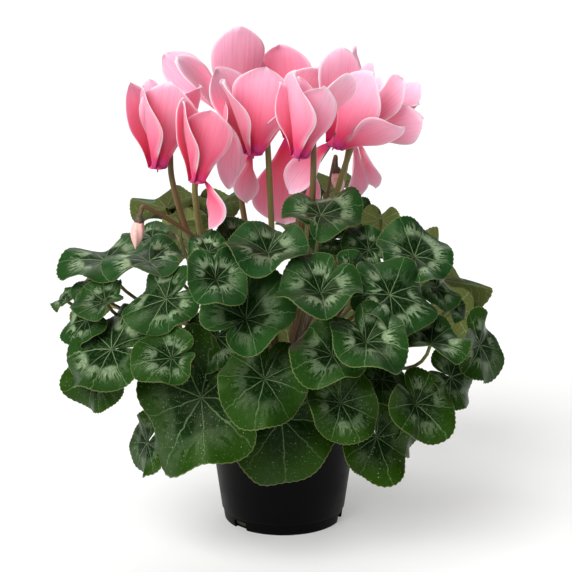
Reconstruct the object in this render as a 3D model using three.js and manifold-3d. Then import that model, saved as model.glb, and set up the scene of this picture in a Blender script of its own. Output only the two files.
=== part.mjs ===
// A potted cyclamen: a black nursery pot of peat, a half-sunk tuber, about sixty heart-shaped
// leaves in a dome and nine swept-back flowers with two buds above it.
// Millimetres, +Z up, the origin in the middle of the pot's flat base. The front looks along -Y.
import * as THREE from "three";
import { mergeVertices } from "three/addons/utils/BufferGeometryUtils.js";
import Module from "manifold-3d";

const wasm = await Module();
wasm.setup();

// Clearance between pieces that touch, and the size of the slivers from joining that are smoothed off.
const GAP = 0.3;
const SMOOTH = 0.12;
const DEG = Math.PI / 180;
const UP = new THREE.Vector3(0, 0, 1);

// The pot: an 11 cm nursery pot with a stepped foot, a rolled rim and three notches in its foot.
const POT = {
  height: 88,
  baseRadius: 43.5,
  taper: 0.1355,
  wall: 1.6,
  floor: 2,
  footHeight: 8,
  footStep: 0.8,
  rimHeight: 8,
  rimOut: 1.3,
  sides: 24,
};
const NOTCH = { width: 12, height: 6, depth: 4, azimuths: [-46, 74, 194] };
const DRAIN = { radius: 3.5, ring: 27, count: 4 };
const SOIL = { top: 77, dome: 1.5, sides: 14 };
const TUBER = { radius: 33, halfHeight: 14, centre: 77, sides: 14 };

// Stems: round sections with few sides, the stubs they start from, and the rings of stubs on the tuber.
const PETIOLE = { radius: 1.3, sides: 4, steps: 3, apart: 1.4, endReach: 0.35 };
const STALK = { radius: 2.1, sides: 5, steps: 4, endReach: 0.3 };
const STUB = { radius: 2.8, sides: 5, above: 4, below: 5.4 };
const CROWN = { stalks: [4, 10.5], innerStalks: 3, high: 16.8, middle: 22.9, low: 29 };

// A stem leaves the tuber steeply, and is bowed sideways in steps until it is clear of the others.
const ROUTE = { outward: 0.25, upward: 0.95, firstReach: 0.45, bowStep: 3, tries: 25, endBow: 0.6 };

// Leaves above the first height belong to the top layer, and those below the second to the lowest.
const HIGH_LEAF = 186;
const LOW_LEAF = 146;

// Leaf blades: thickness, steps along the edge, the inner ring's share of the reach, half of the open
// cleft, the wave, the fold and the droop of the rim's slope, and the depth of the scallops.
const BLADE = {
  thickness: 0.9,
  edge: 12,
  inner: 0.5,
  cleft: 4,
  wave: 20,
  fold: 9,
  droop: 9,
  scallop: 0.018,
};

// Each leaf's waves and outline start at another angle, so that no two are alike.
const PHASE_STEP = 2.399;

// Leaves, each with the place where its petiole meets the blade, its width, the side that its face
// looks to (0 is the front, 90 the right), how far the face is lifted, the turn of its tip from straight
// down, its slope beside the petiole and at its rim, and how angular its outline is.
const FRONT_LEAVES = [
  ["top_left", -10, -104, 220, 58, 5, 70, -40, 33, 5, 0],
  ["funnel", -43, -123, 207, 50, 8, 42, 5, 50, 2, 0],
  ["wide_funnel", -24, -120, 180, 66, 0, 40, 135, 38, 0, 0],
  ["front_low", -12, -128, 142, 65, 0, 40, -10, 28, -18, 0.3],
  ["great_low", -54, -104, 122, 92, -20, 22, -26, 6, -12, 1.3],
  ["over_pot", -1, -80, 100, 84, 2, 8, 4, 4, -4, 0.5],
  ["left_cup", -72, -124, 155, 46, -15, 35, -70, 36, 2, 0],
  ["left_low", -113, -100, 154, 68, -34, 44, -75, 14, -18, 0.3],
  ["left_hang", -124, -92, 132, 49, -35, 16, -62, 4, -6, 0.3],
  ["left_mid", -76, -106, 190, 51, -25, 36, -58, 12, -12, 0.3],
  ["far_left_round", -131, -79, 169, 42, -46, 30, -65, 8, -4, 0],
  ["left_boat", -118, -84, 182, 40, -42, 55, -60, 26, 6, 0],
  ["far_left_small", -149, -44, 173, 22, -65, 45, -80, 20, 6, 0],
  ["left_tilt", -128, -60, 184, 32, -50, 45, -50, 12, -4, 0],
  ["far_left_top", -121, -50, 202, 58, -50, 70, -60, 16, -8, 0.3],
  ["left_top", -89, -78, 208, 56, -25, 78, -75, 16, -8, 0.2],
  ["left_back", -92, -10, 209, 38, -40, 66, -70, 10, 0, 0],
  ["back_left_under", -73, 14, 215, 28, 175, 38, 0, 6, 0, 0],
  ["behind_funnel", -50, -70, 213, 30, 0, 45, -160, 10, 0, 0],
  ["behind_top", -33, -55, 217, 32, 0, 42, 170, 10, 0, 0],
  ["low_left_edge", -92, -79, 82, 46, -55, 12, -35, 4, -4, 0.8],
  ["crown_right", 25, -70, 238, 56, 6, 66, 145, 16, -10, 0.3],
  ["right_funnel", 24, -126, 199, 62, 6, 62, -40, 38, 4, 0],
  ["little_cup", 44, -101, 206, 33, 35, 34, 60, 30, 4, 0],
  ["right_shade", 57, -72, 215, 34, 10, 38, -140, 8, 0, 0],
  ["right_top", 87, -79, 212, 56, 22, 50, 145, 18, -10, 0.4],
  ["back_right_under", 70, 24, 215, 30, 178, 35, 0, 6, 0, 0],
  ["back_right", 53, 40, 216, 26, 15, 40, 160, 8, 0, 0],
  ["right_mid", 69, -115, 195, 60, 28, 44, 62, 12, -14, 0.7],
  ["right_edge_up", 102, -72, 189, 34, 50, 30, 55, 8, 0, 0.4],
  ["right_edge", 113, -58, 171, 28, 60, 50, 80, 12, 0, 0],
  ["right_bowl", 97, -108, 160, 47, 30, 70, 30, 32, 2, 0],
  ["far_right", 133, -68, 148, 50, 52, 14, 30, 6, -8, 1],
  ["right_fold", 112, -87, 131, 46, 45, 28, 50, 10, -16, 0.5],
  ["bright", 53, -140, 170, 58, 10, 52, 25, 42, -6, 0.2],
  ["lower_cup", 32, -128, 158, 54, 0, 42, -60, 38, 0, 0],
  ["hang_cup", 38, -112, 121, 52, 8, 20, 22, 32, 0, 0.2],
  ["right_low_hang", 63, -88, 89, 55, 18, 12, 14, 8, -4, 0.8],
  ["right_low_cup", 87, -108, 119, 53, 28, 24, 30, 38, -8, 0.8],
  ["left_shade", -44, -90, 160, 46, -12, 30, -30, 10, -4, 0],
  ["right_inner", 66, -98, 133, 34, 15, 30, 30, 8, -4, 0],
  ["low_right_edge", 83, -70, 88, 34, 60, 12, 10, 6, 0, 0.5],
  ["centre_shade", 33, -50, 217, 28, 5, 45, -90, 8, 0, 0],
];

// The sides and the back carry the same kinds of leaf, each turned about the pot's axis.
const TURNED_LEAVES = [
  ["top_left", 168],
  ["funnel", 186],
  ["wide_funnel", 178],
  ["front_low", 172],
  ["great_low", 188],
  ["over_pot", 176],
  ["left_cup", 190],
  ["left_low", 176],
  ["left_hang", 176],
  ["right_funnel", 196],
  ["right_bowl", 178],
  ["bright", 184],
  ["lower_cup", 181],
  ["right_low_hang", 184],
  ["right_low_cup", 180],
  ["right_mid", 184],
  ["far_right", 186],
  ["right_top", 180],
  ["right_edge_up", 60],
];

// Petals: five to a flower, spread from the first one and leaving room for the stalk, each with its lean
// from the flower's axis where it leaves the mouth, the further lean at its tip, its length and its width.
const PETAL = {
  thickness: 0.9,
  rows: [0, 0.25, 0.55, 0.84, 1],
  widths: [0.14, 0.46, 0.94, 0.84, 0.24],
  spread: [0, 61, -61, 122, -122],
  twist: 36,
  upright: [13, 20, 62, 36],
};
const TUBE = { mouth: 5.8, throat: 4.4, neck: 3.4, length: 8, sides: 6, pistil: 3, pistilRadius: 0.9 };
const CALYX = { radius: 4.6, neck: 2.4, height: 3.2, sides: 5 };
const HOOK = { side: 162, out: 10.6, below: 12, flare: 3, top: 4.5 };

// Flowers: the middle of the mouth, the side and the angle that the whole flower leans to, the side that
// the first petal looks to, and the petals that differ from an upright one.
const FLOWERS = [
  {
    name: "left",
    mouth: [-86, -25, 262],
    leans: [100, 2],
    front: -30,
    petals: {
      0: [8, 12, 60, 34],
      1: [8, 10, 62, 40],
      2: [10, 8, 60, 34],
      3: [14, 16, 62, 34],
      4: [8, 8, 60, 28],
    },
  },
  {
    name: "small_front",
    mouth: [-57, -60, 259],
    leans: [90, 4],
    front: 25,
    petals: {
      0: [6, 10, 52, 34],
      1: [144, 56, 34, 24],
      2: [10, 12, 58, 28],
      3: [18, 14, 56, 36],
      4: [4, 8, 56, 28],
    },
  },
  {
    name: "tall_left",
    mouth: [-38, 25, 291],
    leans: [20, 6],
    front: 2,
    petals: {
      0: [170, -4, 52, 24],
      1: [0, 4, 64, 42],
      2: [36, 10, 58, 40],
      3: [172, 0, 50, 16],
      4: [52, 8, 62, 30],
    },
  },
  {
    name: "front_left",
    mouth: [-20, -34, 273],
    leans: [90, 3],
    front: -36,
    petals: { 0: [26, 8, 62, 34], 1: [4, 8, 62, 44], 3: [24, 6, 36, 22], 4: [176, -6, 36, 26] },
  },
  {
    name: "back_middle",
    mouth: [6, 42, 272],
    leans: [0, 8],
    front: -20,
    petals: { 0: [166, 4, 62, 54], 4: [4, 8, 66, 44] },
  },
  {
    name: "front_right",
    mouth: [11, -66, 277],
    leans: [60, 6],
    front: -32,
    petals: { 0: [6, 8, 60, 46], 1: [12, 10, 54, 28], 2: [10, 10, 50, 24], 4: [4, 8, 52, 24] },
  },
  {
    name: "right",
    mouth: [35, -20, 276],
    leans: [80, 25],
    front: -60,
    petals: {
      0: [148, 30, 44, 22],
      1: [4, 10, 60, 38],
      2: [14, 12, 66, 34],
      3: [38, 12, 50, 30],
      4: [6, 6, 62, 24],
    },
  },
  {
    name: "far_right",
    mouth: [48, 20, 276],
    leans: [90, 48],
    front: 40,
    petals: {
      0: [24, 14, 54, 32],
      1: [8, 4, 52, 26],
      2: [14, 14, 60, 30],
      3: [12, 10, 62, 40],
      4: [38, 10, 62, 20],
    },
  },
  {
    name: "back_right",
    mouth: [50, 62, 264],
    leans: [60, 6],
    front: 24,
    petals: { 0: [160, 4, 40, 26], 1: [156, -4, 36, 22], 2: [14, 14, 54, 30], 3: [18, 16, 52, 28] },
  },
];

// Buds: the top of the stalk's hook, the middle of the calyx, and the tip of the closed petals.
const BUDS = [
  { name: "left", hook: [-89, -78, 245], calyx: [-95, -79, 238], tip: [-98, -79, 217] },
  { name: "right", hook: [36, -2, 264], calyx: [37, -9, 258], tip: [40, -9, 240] },
];
const BUD = { radius: 4.4, calyxRadius: 3.6, sides: 7, stalk: 1.5, endReach: 0.12 };

const COLOURS = {
  pot: { color: 0x1c1c1e, roughness: 0.5, metalness: 0 },
  soil: { color: 0x2c2019, roughness: 1, metalness: 0 },
  tuber: { color: 0x5d4430, roughness: 0.95, metalness: 0 },
  leaf: { color: 0x2f5437, roughness: 0.55, metalness: 0 },
  petal: { color: 0xf0849a, roughness: 0.5, metalness: 0 },
  stalk: { color: 0x6d4c33, roughness: 0.5, metalness: 0 },
};

const vector = ([x, y, z]) => new THREE.Vector3(x, y, z);

// The level direction to a side of the pot, seen from above: 0 is the front, 90 the right.
const heading = (azimuth) => new THREE.Vector3(Math.sin(azimuth * DEG), -Math.cos(azimuth * DEG), 0);

// A closed geometry as a solid, with its faces turned to point out.
function solidOf(geometry) {
  geometry.deleteAttribute("normal");
  geometry.deleteAttribute("uv");
  const merged = mergeVertices(geometry, 1e-3);
  const triVerts = new Uint32Array(merged.index.array);
  const build = () =>
    new wasm.Manifold(
      new wasm.Mesh({ numProp: 3, vertProperties: merged.attributes.position.array, triVerts }),
    );
  const solid = build();
  if (solid.volume() > 0) return solid;
  triVerts.reverse();
  return build();
}

function geometryOf(solid) {
  const mesh = solid.getMesh();
  return new THREE.BufferGeometry()
    .setAttribute("position", new THREE.BufferAttribute(new Float32Array(mesh.vertProperties), 3))
    .setIndex(new THREE.BufferAttribute(new Uint32Array(mesh.triVerts), 1));
}

const joined = (solids) => solids.reduce((sum, solid) => sum.add(solid));

const largest = (bodies) => bodies.reduce((best, body) => (body.volume() > best.volume() ? body : best));

// A turned shape from radius and height pairs, from the axis to the axis.
function turned(profile, sides) {
  const points = profile.map(([radius, height]) => new THREE.Vector2(radius, height));
  return new THREE.LatheGeometry(points, sides).rotateX(Math.PI / 2);
}

// A smooth route whose steps fall on its own points, so that a bend can have more of them.
class Route extends THREE.CatmullRomCurve3 {
  getUtoTmapping(share) {
    return share;
  }
}

// A round stem along a curve.
function stem(curve, radius, sides, steps) {
  const section = new THREE.Shape();
  for (let i = 0; i < sides; i++) {
    const angle = (2 * Math.PI * i) / sides;
    const corner = [radius * Math.cos(angle), radius * Math.sin(angle)];
    if (i) section.lineTo(...corner);
    else section.moveTo(...corner);
  }
  return solidOf(new THREE.ExtrudeGeometry(section, { steps, extrudePath: curve, curveSegments: 1 }));
}

// A thin closed sheet: both faces lie half the thickness from the middle surface and share its triangles.
function sheet(points, normals, triangles, border, thickness) {
  const count = points.length;
  const corners = [0.5, -0.5].flatMap((side) =>
    points.map((point, i) => point.clone().addScaledVector(normals[i], side * thickness)),
  );
  const faces = [];
  for (const [a, b, c] of triangles) {
    faces.push([a, b, c]);
    faces.push([a + count, c + count, b + count]);
  }
  border.forEach((a, i) => {
    const b = border[(i + 1) % border.length];
    faces.push([a, a + count, b + count]);
    faces.push([a, b + count, b]);
  });
  return { corners, faces, count };
}

function facetedGeometry({ corners, faces }) {
  return new THREE.BufferGeometry()
    .setAttribute("position", new THREE.Float32BufferAttribute(corners.flatMap((c) => c.toArray()), 3))
    .setIndex(faces.flat());
}

function potSolid() {
  const { height, baseRadius, taper, wall, floor, footHeight, footStep, rimHeight, rimOut, sides } = POT;
  const wallRadius = (z) => baseRadius + taper * z;
  const rimFoot = height - rimHeight;
  const shell = solidOf(
    turned(
      [
        [0, 0],
        [wallRadius(0) - footStep, 0],
        [wallRadius(footHeight) - footStep, footHeight],
        [wallRadius(footHeight), footHeight + footStep],
        [wallRadius(rimFoot), rimFoot],
        [wallRadius(rimFoot) + rimOut, rimFoot + rimOut],
        [wallRadius(height) + rimOut, height],
        [wallRadius(height) - wall, height],
        [wallRadius(floor) - wall - footStep, floor],
        [0, floor],
      ],
      sides,
    ),
  );
  const notches = NOTCH.azimuths.map((azimuth) => {
    const box = new THREE.BoxGeometry(NOTCH.width, 2 * NOTCH.depth, 2 * NOTCH.height);
    const way = heading(azimuth).multiplyScalar(wallRadius(0));
    return solidOf(box.rotateZ(azimuth * DEG).translate(way.x, way.y, 0));
  });
  const drains = Array.from({ length: DRAIN.count }, (_, i) => {
    const hole = new THREE.CylinderGeometry(DRAIN.radius, DRAIN.radius, 4 * floor, 6);
    const way = heading((360 * i) / DRAIN.count).multiplyScalar(DRAIN.ring);
    return solidOf(hole.rotateX(Math.PI / 2).translate(way.x, way.y, 0));
  });
  return shell.subtract(joined([...notches, ...drains]));
}

// The tuber, a flattened ball, or the same shape grown by a clearance.
function tuberSolid(grow = 0) {
  const ball = new THREE.SphereGeometry(TUBER.radius + grow, TUBER.sides, TUBER.sides / 2);
  const flatness = (TUBER.halfHeight + grow) / (TUBER.radius + grow);
  return solidOf(ball.rotateX(Math.PI / 2).scale(1, 1, flatness).translate(0, 0, TUBER.centre));
}

// The top of the tuber at a distance from its axis.
const tuberTop = (radius) => TUBER.centre + TUBER.halfHeight * Math.sqrt(1 - (radius / TUBER.radius) ** 2);

function soilSolid() {
  const flat = Math.cos(Math.PI / POT.sides);
  const inside = (z) => (POT.baseRadius + POT.taper * z - POT.wall) * flat - GAP;
  const foot = POT.floor + GAP;
  const fill = turned(
    [
      [0, foot],
      [inside(foot) - POT.footStep, foot],
      [inside(SOIL.top), SOIL.top],
      [inside(SOIL.top) * 0.75, SOIL.top + SOIL.dome],
      [0, SOIL.top + SOIL.dome],
    ],
    SOIL.sides,
  );
  return solidOf(fill).subtract(tuberSolid(GAP));
}

// The outline of a heart-shaped blade: the distance from the petiole to the edge, where angle 0 is the tip.
function leafReach(leaf, angle) {
  const round = 0.5 + 0.05 * Math.cos(angle) + 0.03 * Math.cos(2 * angle) + 0.02 * Math.cos(3 * angle);
  const shoulder = 1 - 0.42 * Math.abs(angle / Math.PI) ** 16;
  const corners = 1 + 0.09 * leaf.ivy * Math.cos(5 * angle);
  const own = 1 + 0.03 * Math.sin(2 * angle + leaf.phase) + 0.02 * Math.sin(3 * angle - 2 * leaf.phase);
  return leaf.width * round * shoulder * corners * own;
}

// A blade curves evenly from its slope at the petiole to its slope at the rim, along each line outwards.
function bladeSheet(leaf, grow = 0) {
  const { edge, inner: innerShare, cleft, wave, fold, droop, scallop, thickness } = BLADE;
  const points = [new THREE.Vector3()];
  const normals = [new THREE.Vector3(0, 0, 1)];
  const halfTurn = Math.PI - cleft * DEG;
  for (const [t, stride] of [[innerShare, 2], [1, 1]])
    for (let i = 0; i <= edge; i += stride) {
      const angle = halfTurn * ((2 * i) / edge - 1);
      const reach = leafReach(leaf, angle) * (1 + scallop * (i % 2 ? 1 : -1)) + grow;
      const inner = leaf.cup * DEG;
      const waves = wave * Math.sin(4 * angle + 3 * leaf.phase) + fold * Math.sin(2 * angle + leaf.phase);
      const rim = (leaf.rim - droop * Math.cos(angle) + waves) * DEG;
      const change = Math.abs(rim - inner) < 1e-3 ? 1e-3 : rim - inner;
      const slope = inner + change * t;
      const out = (reach * (Math.sin(slope) - Math.sin(inner))) / change;
      const height = (reach * (Math.cos(inner) - Math.cos(slope))) / change;
      points.push(new THREE.Vector3(out * Math.sin(angle), out * Math.cos(angle), height));
      normals.push(
        new THREE.Vector3(
          -Math.sin(slope) * Math.sin(angle),
          -Math.sin(slope) * Math.cos(angle),
          Math.cos(slope),
        ),
      );
    }
  const inside = (i) => 1 + i / 2;
  const outside = (i) => 2 + edge / 2 + i;
  const triangles = [];
  for (let i = 0; i < edge; i += 2) {
    triangles.push([0, inside(i + 2), inside(i)]);
    triangles.push([inside(i), outside(i + 1), outside(i)]);
    triangles.push([inside(i), inside(i + 2), outside(i + 1)]);
    triangles.push([inside(i + 2), outside(i + 2), outside(i + 1)]);
  }
  const border = [0, inside(edge)];
  for (let i = edge; i >= 0; i--) border.push(outside(i));
  border.push(inside(0));
  const made = sheet(points, normals, triangles, border, thickness + 2 * grow);
  made.corners.forEach((corner) => corner.applyMatrix4(leaf.frame));
  return { ...made, inside };
}

const bladeSolid = (leaf, grow) => solidOf(facetedGeometry(bladeSheet(leaf, grow)));

// A whole leaf in one skin: the middle of the blade's underside opens into the four sides of the petiole.
function leafSolid(leaf, curve) {
  const { edge, thickness } = BLADE;
  const { radius, sides, steps } = PETIOLE;
  const { corners, faces, count, inside } = bladeSheet(leaf);
  const under = (i) => inside(i) + count;
  const kept = faces.filter((face) => !face.includes(count));
  const across = new THREE.Vector3().setFromMatrixColumn(leaf.frame, 0);
  const ringAt = (k, j) => corners.length - sides * (steps + 1 - k) + (j % sides);
  for (let k = 0; k <= steps; k++) {
    const share = 1 - k / steps;
    const collar = leaf.at.clone().addScaledVector(leaf.normal, -1.6 * thickness);
    const middle = k ? curve.getPointAt(share) : collar;
    const way = k ? curve.getTangentAt(share) : leaf.normal;
    const level = across.clone().addScaledVector(way, -across.dot(way)).normalize();
    const ahead = new THREE.Vector3().crossVectors(way, level);
    for (let j = 0; j < sides; j++) {
      const angle = (-0.75 + (2 * j) / sides) * Math.PI;
      corners.push(
        middle
          .clone()
          .addScaledVector(level, radius * Math.sin(angle))
          .addScaledVector(ahead, radius * Math.cos(angle)),
      );
    }
  }
  const quarter = edge / sides;
  for (let i = 0; i < edge; i += 2) {
    const side = Math.floor((i + 1) / quarter);
    kept.push([ringAt(0, side), under(i), under(i + 2)]);
    const next = Math.floor((i + 3) / quarter);
    if (i + 2 < edge && next > side) kept.push([ringAt(0, side), under(i + 2), ringAt(0, next)]);
  }
  const last = sides - 1;
  kept.push([ringAt(0, last), under(edge), 0]);
  kept.push([ringAt(0, last), 0, ringAt(0, 0)]);
  kept.push([ringAt(0, 0), 0, inside(0)]);
  kept.push([ringAt(0, 0), inside(0), under(0)]);
  for (let k = 0; k < steps; k++)
    for (let j = 0; j < sides; j++) {
      kept.push([ringAt(k, j), ringAt(k, j + 1), ringAt(k + 1, j + 1)]);
      kept.push([ringAt(k, j), ringAt(k + 1, j + 1), ringAt(k + 1, j)]);
    }
  for (let j = 1; j < last; j++) kept.push([ringAt(steps, 0), ringAt(steps, j), ringAt(steps, j + 1)]);
  return solidOf(facetedGeometry({ corners, faces: kept }));
}

// The leaf's own axes: across the blade, towards its tip and out of its face.
function leafFrame(at, face, lift, spin) {
  const normal = heading(face)
    .multiplyScalar(Math.cos(lift * DEG))
    .addScaledVector(UP, Math.sin(lift * DEG));
  const downhill = normal.clone().multiplyScalar(normal.z).sub(UP).normalize();
  const side = new THREE.Vector3().crossVectors(normal, downhill);
  const tip = downhill.multiplyScalar(Math.cos(spin * DEG)).addScaledVector(side, Math.sin(spin * DEG));
  const across = new THREE.Vector3().crossVectors(tip, normal);
  return new THREE.Matrix4().makeBasis(across, tip, normal).setPosition(at);
}

function readLeaf([name, x, y, z, width, face, lift, spin, cup, rim, ivy], turn, index) {
  const at = new THREE.Vector3(x, y, z).applyAxisAngle(UP, turn * DEG);
  const frame = leafFrame(at, face + turn, lift, spin);
  const normal = new THREE.Vector3().setFromMatrixColumn(frame, 2);
  return { name, at, width, cup, rim, ivy, frame, normal, phase: index * PHASE_STEP };
}

// A petal: pairs of edge points from the mouth to the tip, twisted about its middle line.
function petalSolid(flower, azimuth, [lean, curl, length, width], grow = 0) {
  const { rows, widths, thickness, twist } = PETAL;
  const outward = heading(azimuth);
  const along = new THREE.Vector3().crossVectors(UP, outward);
  const points = [];
  const normals = [];
  const middle = outward.clone().multiplyScalar(TUBE.mouth - 0.9).setZ(0.5);
  let before = 0;
  rows.forEach((share, row) => {
    const step = (share - before) * length;
    const halfway = (lean + (curl * (share + before)) / 2) * DEG;
    middle.addScaledVector(outward, step * Math.sin(halfway)).addScaledVector(UP, step * Math.cos(halfway));
    before = share;
    const slope = (lean + curl * share) * DEG;
    const forward = outward.clone().multiplyScalar(Math.sin(slope)).addScaledVector(UP, Math.cos(slope));
    const face = new THREE.Vector3().crossVectors(along, forward);
    const turn = twist * DEG;
    const across = along.clone().multiplyScalar(Math.cos(turn)).addScaledVector(face, Math.sin(turn));
    const normal = face.multiplyScalar(Math.cos(turn)).addScaledVector(along, -Math.sin(turn));
    const half = (widths[row] * width) / 2 + grow;
    for (const side of [-1, 1]) {
      points.push(middle.clone().addScaledVector(across, side * half));
      normals.push(normal);
    }
  });
  const last = rows.length - 1;
  const left = (row) => 2 * row;
  const right = (row) => 2 * row + 1;
  const triangles = [];
  const border = [];
  for (let row = 0; row < last; row++) {
    triangles.push([left(row), right(row), right(row + 1)]);
    triangles.push([left(row), right(row + 1), left(row + 1)]);
  }
  for (let row = 0; row <= last; row++) border.push(right(row));
  for (let row = last; row >= 0; row--) border.push(left(row));
  const made = sheet(points, normals, triangles, border, thickness + 2 * grow);
  return solidOf(facetedGeometry(made).applyMatrix4(flower.frame));
}

// The flower's own frame: its axis runs up from the mouth, and the stalk stays on its given side.
function readFlower({ name, mouth, leans: [side, angle], front, petals }) {
  const axis = UP.clone().applyAxisAngle(heading(side + 90), angle * DEG);
  const frame = new THREE.Matrix4()
    .makeRotationFromQuaternion(new THREE.Quaternion().setFromUnitVectors(UP, axis))
    .setPosition(vector(mouth));
  const shapes = PETAL.spread.map((offset, i) => ({
    azimuth: front + offset,
    shape: petals[i] ?? PETAL.upright,
  }));
  return { name, frame, shapes, stalkSide: front + HOOK.side };
}

function corollaTube(flower) {
  const { mouth, throat, neck, length, sides, pistil, pistilRadius } = TUBE;
  const profile = [
    [0, -pistil],
    [pistilRadius, 0],
    [mouth, 0],
    [throat, 1.6],
    [neck, length],
    [0, length],
  ];
  return solidOf(turned(profile, sides).applyMatrix4(flower.frame));
}

function calyxSolid(frame, radius, bottom) {
  const profile = [
    [0, bottom],
    [radius, bottom],
    [CALYX.neck, bottom + CALYX.height],
    [0, bottom + CALYX.height],
  ];
  return solidOf(turned(profile, CALYX.sides).applyMatrix4(frame));
}

// Routes of stems laid so far, each as points along its middle with its radius and its bunch.
const routes = [];

function distanceToRoute(point, route) {
  const nearest = new THREE.Vector3();
  let best = Infinity;
  for (let i = 1; i < route.points.length; i++) {
    new THREE.Line3(route.points[i - 1], route.points[i]).closestPointToPoint(point, true, nearest);
    best = Math.min(best, nearest.distanceTo(point));
  }
  return best;
}

// Places along straight steps, close enough together to measure clearances from.
function along(points, cuts = 8) {
  const last = points.length - 1;
  return points.flatMap((point, i) =>
    Array.from({ length: i < last ? cuts : 1 }, (_, k) =>
      i < last ? point.clone().lerp(points[i + 1], k / cuts) : point,
    ),
  );
}

// A stem from the tuber to its end, bowed sideways by the least amount that keeps it clear of the others.
function clearRoute(start, end, endWay, endShare, radius, steps, bunch) {
  const across = end.clone().sub(start).setZ(0);
  const outward = across.length() > 1 ? across.clone().normalize() : heading(0);
  const side = new THREE.Vector3().crossVectors(outward, UP);
  const reach = start.distanceTo(end);
  const leave = outward.clone().multiplyScalar(ROUTE.outward).addScaledVector(UP, ROUTE.upward);
  let best = { room: -Infinity };
  for (let k = 0; k < ROUTE.tries && best.room < GAP; k++) {
    const bow = Math.ceil(k / 2) * ROUTE.bowStep * (k % 2 ? 1 : -1);
    const first = start.clone().addScaledVector(leave, ROUTE.firstReach * reach).addScaledVector(side, bow);
    const second = end
      .clone()
      .addScaledVector(endWay, -endShare * reach)
      .addScaledVector(side, bow * ROUTE.endBow);
    const curve = new THREE.CubicBezierCurve3(start, first, second, end);
    const points = curve.getSpacedPoints(steps);
    const places = along(points);
    let room = Infinity;
    for (const route of routes) {
      if (route.bunch === bunch) continue;
      for (const place of places)
        room = Math.min(room, distanceToRoute(place, route) - route.radius - radius - GAP);
    }
    if (room > best.room) best = { room, curve, points };
  }
  routes.push({ points: best.points, radius, bunch });
  return best.curve;
}

// A place on a ring of the tuber, just above its skin.
function ringPlace(radius, azimuth) {
  return heading(azimuth).multiplyScalar(radius).setZ(tuberTop(radius) + STUB.above);
}

function stubSolid(place, grow = 0) {
  const { radius, sides, above, below } = STUB;
  const height = above + below;
  const stub = new THREE.CylinderGeometry(radius + grow, radius + grow, height, sides).rotateX(Math.PI / 2);
  return solidOf(stub.translate(place.x, place.y, place.z + 0.5 - height / 2));
}

const azimuthOf = (point) => Math.atan2(point.x, -point.y) / DEG;

// Splits things round the pot into rings: each gets its own start, in the order of their azimuths.
function startsRound(radius, count) {
  return Array.from({ length: count }, (_, i) => ringPlace(radius, -180 + (360 * (i + 0.5)) / count));
}

// The plant's pieces, each with the shapes, grown by the gap, of its stem and of its thin blades.
const pieces = [];

function addStem(node, colour, make) {
  pieces.push({ node, colour, solid: make(0), stem: make(GAP) });
}

// The flowers and buds come first, because their stalks start in the middle of the tuber.
const flowers = FLOWERS.map(readFlower);

function hookPoints(flower) {
  const out = heading(flower.stalkSide);
  const place = (radius, height) =>
    out.clone().multiplyScalar(radius).setZ(height).applyMatrix4(flower.frame);
  const calyxTop = TUBE.length + GAP + CALYX.height;
  return [
    place(HOOK.out + HOOK.flare, -HOOK.below),
    place(HOOK.out, calyxTop - 1),
    place(HOOK.out * 0.76, calyxTop + HOOK.top * 0.8),
    place(HOOK.out * 0.36, calyxTop + HOOK.top),
    place(0.5, calyxTop + HOOK.top * 0.5),
    place(0, calyxTop - 1),
  ];
}

const stalkEnds = [
  ...flowers.map((flower) => ({ flower, name: "flower_" + flower.name, end: hookPoints(flower)[0] })),
  ...BUDS.map((bud) => ({ bud, name: "bud_" + bud.name, end: vector(bud.hook) })),
];
const byReach = [...stalkEnds].sort((a, b) => Math.hypot(a.end.x, a.end.y) - Math.hypot(b.end.x, b.end.y));
const rings = [byReach.slice(0, CROWN.innerStalks), byReach.slice(CROWN.innerStalks)];
rings.forEach((ring, level) => {
  ring.sort((a, b) => azimuthOf(a.end) - azimuthOf(b.end));
  const starts = startsRound(CROWN.stalks[level], ring.length);
  ring.forEach((entry, i) => (entry.start = starts[i]));
});

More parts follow.
